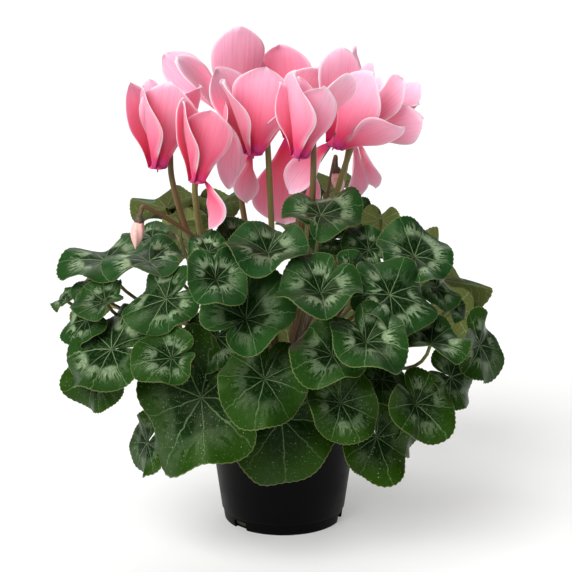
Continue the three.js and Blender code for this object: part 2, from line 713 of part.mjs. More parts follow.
for (const { flower, bud, name, start, end } of stalkEnds) {
  const radius = bud ? BUD.stalk : STALK.radius;
  if (flower) {
    const points = hookPoints(flower);
    const rise = points[1].clone().sub(points[0]).normalize();
    const rising = clearRoute(start, end, rise, STALK.endReach, radius, STALK.steps, name);
    const route = new Route([...rising.getSpacedPoints(STALK.steps), ...points.slice(1)]);
    routes.push({ points, radius, bunch: name });
    addStem(name + "_stalk", "stalk", (grow) =>
      joined([
        stubSolid(start, grow),
        stem(route, radius + grow, STALK.sides, route.points.length - 1),
        calyxSolid(flower.frame, CALYX.radius + grow, TUBE.length + GAP - grow),
      ]),
    );
    const corolla = (grow) =>
      joined([
        corollaTube(flower),
        ...flower.shapes.map(({ azimuth, shape }) => petalSolid(flower, azimuth, shape, grow)),
      ]);
    pieces.push({ node: name + "_petals", colour: "petal", solid: corolla(0), blade: corolla(GAP) });
    continue;
  }
  const calyx = vector(bud.calyx);
  const down = vector(bud.tip).sub(calyx);
  const length = down.length();
  const frame = new THREE.Matrix4()
    .makeRotationFromQuaternion(
      new THREE.Quaternion().setFromUnitVectors(UP, down.clone().negate().normalize()),
    )
    .setPosition(vector(bud.tip));
  const hookTop = end;
  const level = calyx.clone().sub(hookTop).setZ(0).normalize();
  const rising = clearRoute(start, hookTop, level, BUD.endReach, radius, STALK.steps, name);
  const over = calyx.clone().lerp(hookTop, 0.25).setZ(hookTop.z - 0.25 * (hookTop.z - calyx.z));
  const route = new Route([...rising.getSpacedPoints(STALK.steps), over, calyx]);
  addStem(name + "_stalk", "stalk", (grow) =>
    joined([
      stubSolid(start, grow),
      stem(route, radius + grow, STALK.sides, route.points.length - 1),
      calyxSolid(frame, BUD.calyxRadius + grow, length - 2 - grow),
    ]),
  );
  const closedPetals = (grow) => {
    const spindle = [
      [0, 0],
      [0.3 * BUD.radius, 0.14 * length],
      [0.8 * BUD.radius, 0.4 * length],
      [BUD.radius, 0.68 * length],
      [0.8 * BUD.radius, length - 2 - GAP],
      [0, length - 2 - GAP],
    ].map(([radius, height]) => [radius ? radius + grow : 0, height]);
    return solidOf(turned(spindle, BUD.sides).applyMatrix4(frame));
  };
  pieces.push({
    node: name + "_petals",
    colour: "petal",
    solid: closedPetals(0),
    blade: closedPetals(GAP),
  });
}

// The leaves: every one belongs to a layer by its height, starts on that layer's ring of the tuber,
// and shares a short trunk with its neighbour in the ring.
const leafRows = new Map(FRONT_LEAVES.map((row) => [row[0], row]));
const leaves = FRONT_LEAVES.map((row, i) => readLeaf(row, 0, i));
TURNED_LEAVES.forEach(([name, turn], i) => {
  leaves.push(readLeaf(leafRows.get(name), turn, FRONT_LEAVES.length + i));
});

const layers = {
  high: leaves.filter((leaf) => leaf.at.z >= HIGH_LEAF),
  middle: leaves.filter((leaf) => leaf.at.z < HIGH_LEAF && leaf.at.z >= LOW_LEAF),
  low: leaves.filter((leaf) => leaf.at.z < LOW_LEAF),
};

for (const [layer, members] of Object.entries(layers)) {
  members.sort((a, b) => azimuthOf(a.at) - azimuthOf(b.at));
  const starts = startsRound(CROWN[layer], Math.ceil(members.length / 2));
  members.forEach((leaf, i) => {
    const bunch = Math.floor(i / 2);
    const node = "leaves_" + layer + "_" + String(bunch + 1).padStart(2, "0");
    const start = starts[bunch];
    const aside = new THREE.Vector3(-start.y, start.x, 0).setLength(PETIOLE.apart * (i % 2 ? 1 : -1));
    const foot = start.clone().add(aside).setZ(start.z - 1.5);
    const curve = clearRoute(
      foot,
      leaf.at,
      leaf.normal,
      PETIOLE.endReach,
      PETIOLE.radius,
      PETIOLE.steps,
      node,
    );
    if (i % 2 === 0) addStem(node, "leaf", (grow) => stubSolid(start, grow));
    pieces.push({
      node,
      colour: "leaf",
      solid: leafSolid(leaf, curve),
      stem: stem(curve, (PETIOLE.radius + GAP) * Math.SQRT2, PETIOLE.sides, PETIOLE.steps),
      blade: bladeSolid(leaf, GAP),
    });
  });
}

// Blades give way to stems and to the blades before them: where two still cross, one is cut back to a gap.
const overlaps = (a, b) => {
  const one = a.boundingBox();
  const two = b.boundingBox();
  for (let i = 0; i < 3; i++) if (one.min[i] > two.max[i] || two.min[i] > one.max[i]) return false;
  return !a.intersect(b).isEmpty();
};
function cutBack(piece, tool) {
  if (overlaps(piece.solid, tool)) piece.solid = largest(piece.solid.subtract(tool).decompose());
}
pieces.forEach((piece, i) => {
  if (!piece.blade) return;
  pieces.forEach((other, j) => {
    if (other.node === piece.node) return;
    if (!overlaps(piece.solid, other.solid)) return;
    if (other.stem) cutBack(piece, other.stem);
    if (!other.blade || j > i) return;
    cutBack(piece, piece.stem ? other.blade.subtract(piece.stem) : other.blade);
  });
});

const plant = new THREE.Group();

function addMesh(name, colour, solid) {
  const mesh = new THREE.Mesh(geometryOf(solid), new THREE.MeshStandardMaterial(COLOURS[colour]));
  mesh.name = name;
  plant.add(mesh);
}

addMesh("pot", "pot", potSolid());
addMesh("soil", "soil", soilSolid());
addMesh("tuber", "tuber", tuberSolid());
const seat = tuberSolid(GAP);
const nodes = new Map();
for (const piece of pieces) {
  if (!nodes.has(piece.node)) nodes.set(piece.node, { colour: piece.colour, solids: [] });
  nodes.get(piece.node).solids.push(piece.solid);
}
for (const [name, { colour, solids }] of nodes) {
  addMesh(name, colour, largest(joined(solids).subtract(seat).decompose()).simplify(SMOOTH));
}

export default plant;
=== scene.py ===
import math
from functools import partial

import bmesh
import bpy
import numpy as np
from bpy.props import FloatProperty, FloatVectorProperty, IntProperty, PointerProperty
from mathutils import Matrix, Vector, noise


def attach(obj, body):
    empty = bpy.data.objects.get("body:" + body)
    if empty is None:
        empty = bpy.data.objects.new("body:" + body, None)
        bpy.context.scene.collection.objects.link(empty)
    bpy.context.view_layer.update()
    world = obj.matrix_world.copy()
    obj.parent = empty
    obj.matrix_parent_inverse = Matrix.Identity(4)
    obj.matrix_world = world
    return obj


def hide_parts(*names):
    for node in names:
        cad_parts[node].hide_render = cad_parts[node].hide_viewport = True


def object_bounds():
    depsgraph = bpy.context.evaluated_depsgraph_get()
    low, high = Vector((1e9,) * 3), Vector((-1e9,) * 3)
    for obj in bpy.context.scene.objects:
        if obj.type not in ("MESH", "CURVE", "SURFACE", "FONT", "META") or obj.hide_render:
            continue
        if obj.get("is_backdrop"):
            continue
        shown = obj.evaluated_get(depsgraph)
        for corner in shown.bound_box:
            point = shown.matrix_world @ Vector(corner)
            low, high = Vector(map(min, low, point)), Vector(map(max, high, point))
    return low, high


bl_info = {
    "name": "Potted Cyclamen",
    "version": (1, 0, 0),
    "blender": (4, 5, 0),
    "location": "3D View > Sidebar > Cyclamen",
    "description": "Builds a flowering cyclamen in a nursery pot over its solid frame",
    "category": "Object",
}

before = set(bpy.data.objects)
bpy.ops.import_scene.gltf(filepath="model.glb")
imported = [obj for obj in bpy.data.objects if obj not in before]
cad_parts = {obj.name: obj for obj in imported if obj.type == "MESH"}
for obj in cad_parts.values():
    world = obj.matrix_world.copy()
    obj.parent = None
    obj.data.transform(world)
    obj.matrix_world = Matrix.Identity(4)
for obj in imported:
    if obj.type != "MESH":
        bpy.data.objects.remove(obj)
CAD_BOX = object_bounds()

MM = 0.001
UP = np.array([0.0, 0.0, 1.0])

# The plant's plan, in millimetres and degrees: the same places and rules as the solid part's.
GAP = 0.3
POT = {
    "height": 88,
    "base_radius": 43.5,
    "taper": 0.1355,
    "wall": 1.6,
    "floor": 2,
    "foot_height": 8,
    "foot_step": 0.8,
    "rim_height": 8,
    "rim_out": 1.3,
    "solid_sides": 24,
}
NOTCH = {"width": 12, "height": 6, "depth": 4, "azimuths": (-46, 74, 194)}
DRAIN = {"radius": 3.5, "ring": 27, "count": 4, "cut": 20}
SOIL = {"top": 77, "dome": 1.5, "steps": 22}
TUBER = {"radius": 33, "half_height": 14, "centre": 77}
PETIOLE = {"radius": 1.3, "apart": 1.4, "sunk": 1.5, "end_reach": 0.35, "steps": 3}
STALK = {"radius": 2.1, "end_reach": 0.3, "steps": 4}
STUB = {"radius": 2.8, "above": 4, "below": 1.5}
CROWN = {"stalks": (4, 10.5), "inner_stalks": 3, "high": 16.8, "middle": 22.9, "low": 29}
ROUTE = {"outward": 0.25, "upward": 0.95, "first_reach": 0.45, "bow_step": 3, "tries": 25, "end_bow": 0.6}
LAYERS = (("high", 186, 999), ("middle", 146, 186), ("low", 0, 146))
BLADE = {"cleft": 4, "wave": 20, "fold": 9, "droop": 9, "scallop": 0.018, "scallops": 6}
LEAF_SHARES = (0.005, 0.07, 0.14, 0.22, 0.3, 0.4, 0.5, 0.6, 0.7, 0.8, 0.88, 0.94, 0.98, 1)
# Each leaf's waves are a golden angle from the last one's, and its tone is a golden share from it.
PHASE_STEP = 2.399
GOLDEN = 0.618

# Leaves: name, place where the petiole meets the blade, width, the side that the face looks to, its lift,
# the turn of its tip, its slope beside the petiole and at its rim, and how angular its outline is.
FRONT_LEAVES = [
    ("top_left", -10, -104, 220, 58, 5, 70, -40, 33, 5, 0),
    ("funnel", -43, -123, 207, 50, 8, 42, 5, 50, 2, 0),
    ("wide_funnel", -24, -120, 180, 66, 0, 40, 135, 38, 0, 0),
    ("front_low", -12, -128, 142, 65, 0, 40, -10, 28, -18, 0.3),
    ("great_low", -54, -104, 122, 92, -20, 22, -26, 6, -12, 1.3),
    ("over_pot", -1, -80, 100, 84, 2, 8, 4, 4, -4, 0.5),
    ("left_cup", -72, -124, 155, 46, -15, 35, -70, 36, 2, 0),
    ("left_low", -113, -100, 154, 68, -34, 44, -75, 14, -18, 0.3),
    ("left_hang", -124, -92, 132, 49, -35, 16, -62, 4, -6, 0.3),
    ("left_mid", -76, -106, 190, 51, -25, 36, -58, 12, -12, 0.3),
    ("far_left_round", -131, -79, 169, 42, -46, 30, -65, 8, -4, 0),
    ("left_boat", -118, -84, 182, 40, -42, 55, -60, 26, 6, 0),
    ("far_left_small", -149, -44, 173, 22, -65, 45, -80, 20, 6, 0),
    ("left_tilt", -128, -60, 184, 32, -50, 45, -50, 12, -4, 0),
    ("far_left_top", -121, -50, 202, 58, -50, 70, -60, 16, -8, 0.3),
    ("left_top", -89, -78, 208, 56, -25, 78, -75, 16, -8, 0.2),
    ("left_back", -92, -10, 209, 38, -40, 66, -70, 10, 0, 0),
    ("back_left_under", -73, 14, 215, 28, 175, 38, 0, 6, 0, 0),
    ("behind_funnel", -50, -70, 213, 30, 0, 45, -160, 10, 0, 0),
    ("behind_top", -33, -55, 217, 32, 0, 42, 170, 10, 0, 0),
    ("low_left_edge", -92, -79, 82, 46, -55, 12, -35, 4, -4, 0.8),
    ("crown_right", 25, -70, 238, 56, 6, 66, 145, 16, -10, 0.3),
    ("right_funnel", 24, -126, 199, 62, 6, 62, -40, 38, 4, 0),
    ("little_cup", 44, -101, 206, 33, 35, 34, 60, 30, 4, 0),
    ("right_shade", 57, -72, 215, 34, 10, 38, -140, 8, 0, 0),
    ("right_top", 87, -79, 212, 56, 22, 50, 145, 18, -10, 0.4),
    ("back_right_under", 70, 24, 215, 30, 178, 35, 0, 6, 0, 0),
    ("back_right", 53, 40, 216, 26, 15, 40, 160, 8, 0, 0),
    ("right_mid", 69, -115, 195, 60, 28, 44, 62, 12, -14, 0.7),
    ("right_edge_up", 102, -72, 189, 34, 50, 30, 55, 8, 0, 0.4),
    ("right_edge", 113, -58, 171, 28, 60, 50, 80, 12, 0, 0),
    ("right_bowl", 97, -108, 160, 47, 30, 70, 30, 32, 2, 0),
    ("far_right", 133, -68, 148, 50, 52, 14, 30, 6, -8, 1),
    ("right_fold", 112, -87, 131, 46, 45, 28, 50, 10, -16, 0.5),
    ("bright", 53, -140, 170, 58, 10, 52, 25, 42, -6, 0.2),
    ("lower_cup", 32, -128, 158, 54, 0, 42, -60, 38, 0, 0),
    ("hang_cup", 38, -112, 121, 52, 8, 20, 22, 32, 0, 0.2),
    ("right_low_hang", 63, -88, 89, 55, 18, 12, 14, 8, -4, 0.8),
    ("right_low_cup", 87, -108, 119, 53, 28, 24, 30, 38, -8, 0.8),
    ("left_shade", -44, -90, 160, 46, -12, 30, -30, 10, -4, 0),
    ("right_inner", 66, -98, 133, 34, 15, 30, 30, 8, -4, 0),
    ("low_right_edge", 83, -70, 88, 34, 60, 12, 10, 6, 0, 0.5),
    ("centre_shade", 33, -50, 217, 28, 5, 45, -90, 8, 0, 0),
]

# The sides and the back carry the same kinds of leaf, each turned about the pot's axis.
TURNED_LEAVES = {
    "top_left": 168, "funnel": 186, "wide_funnel": 178, "front_low": 172, "great_low": 188, "over_pot": 176,
    "left_cup": 190, "left_low": 176, "left_hang": 176, "right_funnel": 196, "right_bowl": 178,
    "bright": 184, "lower_cup": 181, "right_low_hang": 184, "right_low_cup": 180, "right_mid": 184,
    "far_right": 186, "right_top": 180, "right_edge_up": 60,
}

# The heights between which the blades turn from a low leaf's green, darkened as painted shade, to a high
# one's.
DOME_HEIGHTS = (110, 210)

# How strongly a kind of leaf is marbled, where it is plainer than most.
PLAINER = {
    "over_pot": 0.0, "great_low": 0.25, "wide_funnel": 0.3, "front_low": 0.3, "left_hang": 0.45,
    "right_low_hang": 0.45, "low_left_edge": 0.5, "low_right_edge": 0.4, "hang_cup": 0.6, "lower_cup": 0.65,
    "right_inner": 0.5,
}

PETAL = {
    "rows": 30,
    "columns": 15,
    "spread": (0, 61, -61, 122, -122),
    "twist": 36,
    "upright": (13, 20, 62, 36),
    "shares": (0, 0.25, 0.55, 0.84, 1),
    "widths": (0.14, 0.46, 0.94, 0.88, 0.5),
}
TUBE = {
    "mouth": 5.8,
    "length": 8,
    "profile": (
        *((0, 3.2), (1.4, 3), (3.2, 2), (4.9, 0.6), (5.6, -0.1), (5.9, 0.4)),
        *((5.2, 1.4), (4.4, 2.4), (3.8, 5), (3.4, 8), (0, 8)),
    ),
    "pistil": ((0, -3), (0.5, -2.8), (0.55, 0), (1.6, 1.2), (1.8, 3.4), (0, 3.6)),
}
CALYX = {"radius": 4.6, "neck": 2.4, "height": 3.2}
HOOK = {"side": 162, "out": 10.6, "below": 12, "flare": 3, "top": 4.5}

# Flowers: name, mouth, the side and angle that the whole flower leans to, the side that the first petal
# looks to, and the petals that differ from an upright one (lean, further lean, length, width).
FLOWER_PARTS = ("name", "mouth", "leans", "front", "petals")
FLOWERS = [dict(zip(FLOWER_PARTS, row)) for row in (
    ("left", (-86, -25, 262), (100, 2), -30, {
        0: (8, 12, 60, 34), 1: (8, 10, 62, 40), 2: (10, 8, 60, 34), 3: (14, 16, 62, 34), 4: (8, 8, 60, 28)
    }),
    ("small_front", (-57, -60, 259), (90, 4), 25, {
        0: (6, 10, 52, 34), 1: (144, 56, 34, 24), 2: (10, 12, 58, 28), 3: (18, 14, 56, 36), 4: (4, 8, 56, 28)
    }),
    ("tall_left", (-38, 25, 291), (20, 6), 2, {
        0: (170, -4, 52, 24), 1: (0, 4, 64, 42), 2: (36, 10, 58, 40), 3: (172, 0, 50, 16), 4: (52, 8, 62, 30)
    }),
    ("front_left", (-20, -34, 273), (90, 3), -36, {
        0: (26, 8, 62, 34), 1: (4, 8, 62, 44), 3: (24, 6, 36, 22), 4: (176, -6, 36, 26)
    }),
    ("back_middle", (6, 42, 272), (0, 8), -20, {0: (166, 4, 62, 54), 4: (4, 8, 66, 44)}),
    ("front_right", (11, -66, 277), (60, 6), -32, {
        0: (6, 8, 60, 46), 1: (12, 10, 54, 28), 2: (10, 10, 50, 24), 4: (4, 8, 52, 24)
    }),
    ("right", (35, -20, 276), (80, 25), -60, {
        0: (148, 30, 44, 22), 1: (4, 10, 60, 38), 2: (14, 12, 66, 34), 3: (38, 12, 50, 30), 4: (6, 6, 62, 24)
    }),
    ("far_right", (48, 20, 276), (90, 48), 40, {
        0: (24, 14, 54, 32), 1: (8, 4, 52, 26), 2: (14, 14, 60, 30), 3: (12, 10, 62, 40), 4: (38, 10, 62, 20)
    }),
    ("back_right", (50, 62, 264), (60, 6), 24, {
        0: (160, 4, 40, 26), 1: (156, -4, 36, 22), 2: (14, 14, 54, 30), 3: (18, 16, 52, 28)
    }),
)]

# Flowers that are a deeper pink than most, above zero, or a paler one, below it.
TONES = {
    "small_front": 0.45, "left": 0.15, "back_middle": 0.25,
    "tall_left": -0.6, "back_right": -0.45, "far_right": -0.25,
}

BUDS = [
    {"name": "left", "hook": (-89, -78, 245), "calyx": (-95, -79, 238), "tip": (-98, -79, 217)},
    {"name": "right", "hook": (36, -2, 264), "calyx": (37, -9, 258), "tip": (40, -9, 240)},
]
BUD = {
    "radius": 4.4,
    "calyx_radius": 3.6,
    "shares": (0, 0.14, 0.4, 0.68, 1),
    "widths": (0.02, 0.3, 0.8, 1.0, 0.75),
}
BUD_STALK = {"radius": 1.5, "end_reach": 0.12, "steps": 4}

# The three flat maps that every skin carries: places on it in tenths of a metre, or the distance to a
# petal's edge; its share of the way from root to rim and round; and a leaf's or petal's own tones, where a
# leaf's also carry its painted shade by height.
FLAT_MAP, SHARE_MAP, OWN_MAP = "flat", "share", "own"
MAP_MM = 100

# Main veins of a leaf, and the stretch that gives each leaf or petal its own patterns.
LEAF_VEINS = 9
SEED_STRETCH = 57
# Settings of nodes. A Mix node takes its two colours at 6 and 7, and gives the mixed one at 2.
TIMES, MINUS, TIMES_PLUS = ({"operation": kind} for kind in ("MULTIPLY", "SUBTRACT", "MULTIPLY_ADD"))
SMOOTH = {"interpolation_type": "SMOOTHSTEP"}
OWN_NOISE = {"noise_dimensions": "4D"}
COLOURS = {"out": 2, "data_type": "RGBA"}


def linear(hex_colour):
    """An sRGB hex colour as linear numbers with full alpha."""
    parts = [((hex_colour >> shift) & 255) / 255 for shift in (16, 8, 0)]
    return tuple(c / 12.92 if c <= 0.04045 else ((c + 0.055) / 1.055) ** 2.4 for c in parts) + (1.0,)


def unit(vector):
    return vector / np.linalg.norm(vector)


def heading(azimuth):
    """The level direction to a side of the pot: 0 is the front, 90 the right."""
    return np.array([math.sin(math.radians(azimuth)), -math.cos(math.radians(azimuth)), 0.0])


def azimuth_of(point):
    return math.degrees(math.atan2(point[0], -point[1]))


def rotation(axis, degrees):
    """The matrix that turns about an axis."""
    x, y, z = unit(np.asarray(axis, float))
    cross = np.array([[0, -z, y], [z, 0, -x], [-y, x, 0]])
    angle = math.radians(degrees)
    return np.eye(3) + math.sin(angle) * cross + (1 - math.cos(angle)) * cross @ cross


def turn_up_to(axis):
    """The smallest turn that brings straight up to an axis."""
    across = np.cross(UP, axis)
    if np.linalg.norm(across) < 1e-9:
        return np.eye(3)
    return rotation(across, math.degrees(math.acos(float(np.clip(np.dot(UP, axis), -1, 1)))))


def pot_radius(height):
    return POT["base_radius"] + POT["taper"] * height


def bumps(points, size_mm):
    """Noise at each of some points, from -1 to 1, in bumps of a given size."""
    return np.array([[noise.noise(Vector(point) / size_mm)] for point in points])


def smooth_curve(points, per_step):
    """A smooth line through given points, with so many places to each step between them."""
    points = np.asarray(points, float)
    padded = np.vstack([2 * points[0] - points[1], points, 2 * points[-1] - points[-2]])
    t = np.arange(per_step)[:, None] / per_step
    runs = []
    for a, b, c, d in zip(padded, padded[1:], padded[2:], padded[3:]):
        runs.append(
            0.5 * (2 * b + (c - a) * t + (2 * a - 5 * b + 4 * c - d) * t**2 + (3 * b - a - 3 * c + d) * t**3)
        )
    return np.vstack(runs + [points[-1:]])


def smooth_values(at, shares, values):
    """Values read off a smooth line through a short table."""
    shares = np.asarray(shares, float)
    values = np.asarray(values, float)
    slopes = np.gradient(values, shares)
    i = np.clip(np.searchsorted(shares, at) - 1, 0, len(shares) - 2)
    step = shares[i + 1] - shares[i]
    t = (at - shares[i]) / step
    return (
        (2 * t**3 - 3 * t**2 + 1) * values[i]
        + (t**3 - 2 * t**2 + t) * step * slopes[i]
        + (3 * t**2 - 2 * t**3) * values[i + 1]
        + (t**3 - t**2) * step * slopes[i + 1]
    )


def bezier(controls, shares):
    t = np.asarray(shares, float)[:, None]
    a, b, c, d = controls
    return (1 - t) ** 3 * a + 3 * (1 - t) ** 2 * t * b + 3 * (1 - t) * t**2 * c + t**3 * d


def run_along(points):
    """The distance along a line to each of its points."""
    return np.concatenate([[0], np.cumsum(np.linalg.norm(np.diff(points, axis=0), axis=1))])


def spaced(controls, steps):
    """Places at equal distances along a cubic curve."""
    shares = np.linspace(0, 1, 201)
    run = run_along(bezier(controls, shares))
    return bezier(controls, np.interp(np.linspace(0, run[-1], steps + 1), run, shares))


class StemRoutes:
    """The stems laid so far, as straight steps: start, way, radius and bunch."""

    def __init__(self):
        self.steps = []

    def lay(self, points, radius, bunch):
        self.steps += [(a, b - a, radius, bunch) for a, b in zip(points, points[1:])]

    def room(self, points, radius, bunch):
        """The least clearance between straight steps and the stems of other bunches."""
        others = [step[:3] for step in self.steps if step[3] != bunch]
        if not others:
            return math.inf
        starts, ways, radii = (np.array(part) for part in zip(*others))
        cuts = np.arange(8)[:, None] / 8
        places = [a + (b - a) * cuts for a, b in zip(points, points[1:])] + [points[-1:]]
        places = np.vstack(places)[:, None, :]
        share = np.clip(((places - starts) * ways).sum(2) / (ways**2).sum(1), 0, 1)
        apart = np.linalg.norm(places - starts - share[..., None] * ways, axis=2)
        return float((apart - radii - radius - GAP).min())

    def clear(self, start, end, end_way, stem, bunch):
        """A curve from the tuber to a stem's end, bowed sideways as little as keeps it clear."""
        level = (end - start) * (1, 1, 0)
        outward = unit(level) if np.linalg.norm(level) > 1 else heading(0)
        side = np.cross(outward, UP)
        reach = np.linalg.norm(end - start)
        leave = outward * ROUTE["outward"] + UP * ROUTE["upward"]
        best = (-math.inf, None, None)
        for k in range(ROUTE["tries"]):
            if best[0] >= GAP:
                break
            bow = math.ceil(k / 2) * ROUTE["bow_step"] * (1 if k % 2 else -1)
            first = start + leave * ROUTE["first_reach"] * reach + side * bow
            second = end - end_way * stem["end_reach"] * reach + side * bow * ROUTE["end_bow"]
            controls = (start, first, second, end)
            points = spaced(controls, stem["steps"])
            room = self.room(points, stem["radius"], bunch)
            if room > best[0]:
                best = (room, controls, points)
        self.lay(best[2], stem["radius"], bunch)
        return best[1:]


def starts_round(radius, count):
    """Places on a ring of the tuber, just above its skin."""
    height = TUBER["centre"] + TUBER["half_height"] * math.sqrt(1 - (radius / TUBER["radius"]) ** 2)
    azimuths = [-180 + 360 * (i + 0.5) / count for i in range(count)]
    return [heading(a) * radius + UP * (height + STUB["above"]) for a in azimuths]


def flower_frame(flower):
    side, angle = flower["leans"]
    return rotation(heading(side + 90), angle), np.array(flower["mouth"], float)


def hook_points(flower):
    """The stalk's last points: up beside the flower, over, and down into its calyx."""
    turn, mouth = flower_frame(flower)
    out = heading(flower["front"] + HOOK["side"])
    top = TUBE["length"] + GAP + CALYX["height"]
    places = [
        (HOOK["out"] + HOOK["flare"], -HOOK["below"]),
        (HOOK["out"], top - 1),
        (HOOK["out"] * 0.76, top + HOOK["top"] * 0.8),
        (HOOK["out"] * 0.36, top + HOOK["top"]),
        (0.5, top + HOOK["top"] * 0.5),
        (0, top - 1),
    ]
    return [turn @ (out * radius + UP * height) + mouth for radius, height in places]


def leaf_plan():
    """Every leaf with its own axes: across the blade, towards its tip and out of its face."""
    rows = {row[0]: row for row in FRONT_LEAVES}
    entries = [(row, 0) for row in FRONT_LEAVES]
    entries += [(rows[name], turn) for name, turn in TURNED_LEAVES.items()]
    leaves = []
    for index, ((name, x, y, z, width, face, lift, spin, cup, rim, ivy), turn) in enumerate(entries):
        lift, spin = math.radians(lift), math.radians(spin)
        normal = heading(face + turn) * math.cos(lift) + UP * math.sin(lift)
        downhill = unit(normal * normal[2] - UP)
        tip = downhill * math.cos(spin) + np.cross(normal, downhill) * math.sin(spin)
        leaf = {"width": width, "cup": cup, "rim": rim, "ivy": ivy, "normal": normal}
        leaf["phase"] = index * PHASE_STEP
        leaf["at"] = rotation(UP, turn) @ np.array([x, y, z], float)
        leaf["axes"] = np.column_stack([np.cross(tip, normal), tip, normal])
        # Painted shade: the lower a leaf sits in the dome, the darker and yellower its green; a little of its
        # tone is its own.
        leaf["seed"] = float(np.interp(z, DOME_HEIGHTS, (0.8, 0))) + 0.2 * (index * GOLDEN % 1)
        leaf["silver"] = PLAINER.get(name, 1) * (0.65 + 0.35 * (index * (1 - GOLDEN) % 1))
        leaves.append(leaf)
    return leaves


def stalk_plan(routes):
    """The stalks of flowers and buds: where each starts, and the places on it up to its calyx."""
    ends = {"flower_" + flower["name"]: hook_points(flower)[0] for flower in FLOWERS}
    ends.update({"bud_" + bud["name"]: np.array(bud["hook"], float) for bud in BUDS})
    by_reach = sorted(ends, key=lambda name: math.hypot(*ends[name][:2]))
    starts = {}
    inner = CROWN["inner_stalks"]
    for radius, ring in zip(CROWN["stalks"], (by_reach[:inner], by_reach[inner:])):
        ring.sort(key=lambda name: azimuth_of(ends[name]))
        starts.update(zip(ring, starts_round(radius, len(ring))))
    stalks = {}
    for flower in FLOWERS:
        name = "flower_" + flower["name"]
        hook = hook_points(flower)
        rise = unit(hook[1] - hook[0])
        points = routes.clear(starts[name], hook[0], rise, STALK, name)[1]
        routes.lay(hook, STALK["radius"], name)
        stalks[name] = (starts[name], np.vstack([points, hook[1:]]))
    for bud in BUDS:
        name = "bud_" + bud["name"]
        end, calyx = ends[name], np.array(bud["calyx"], float)
        points = routes.clear(starts[name], end, unit((calyx - end) * (1, 1, 0)), BUD_STALK, name)[1]
        # The stalk is level where it comes in, and bends down to the calyx.
        over = calyx + (end - calyx) * (0.25, 0.25, 0.75)
        stalks[name] = (starts[name], np.vstack([points, over, calyx]))
    return stalks


def stem_plan():
    """The routes of all stems, laid in the same order as the solid part's."""
    routes = StemRoutes()
    stalks = stalk_plan(routes)
    leaves = leaf_plan()
    bunches = {}
    for layer, least, most in LAYERS:
        members = [leaf for leaf in leaves if least <= leaf["at"][2] < most]
        members.sort(key=lambda leaf: azimuth_of(leaf["at"]))
        ring = starts_round(CROWN[layer], math.ceil(len(members) / 2))
        for i, leaf in enumerate(members):
            node = f"leaves_{layer}_{i // 2 + 1:02d}"
            start = ring[i // 2]
            aside = unit(np.array([-start[1], start[0], 0])) * PETIOLE["apart"] * (1 if i % 2 else -1)
            foot = start + aside - UP * PETIOLE["sunk"]
            leaf["route"] = routes.clear(foot, leaf["at"], leaf["normal"], PETIOLE, node)[0]
            bunches.setdefault(node, (start, []))[1].append(leaf)
    return stalks, bunches


def band(first, sides, rings):
    """The faces between rings of points that are numbered from a first one."""
    faces = []
    for r in range(rings - 1):
        for c in range(sides):
            a, b = first + r * sides + c, first + r * sides + (c + 1) % sides
            faces.append((a, b, b + sides, a + sides))
    return faces


def point_maps(*numbers):
    """The six numbers of the flat maps, for each point of a grid."""
    return np.stack(np.broadcast_arrays(*numbers), 2).reshape(-1, 6)


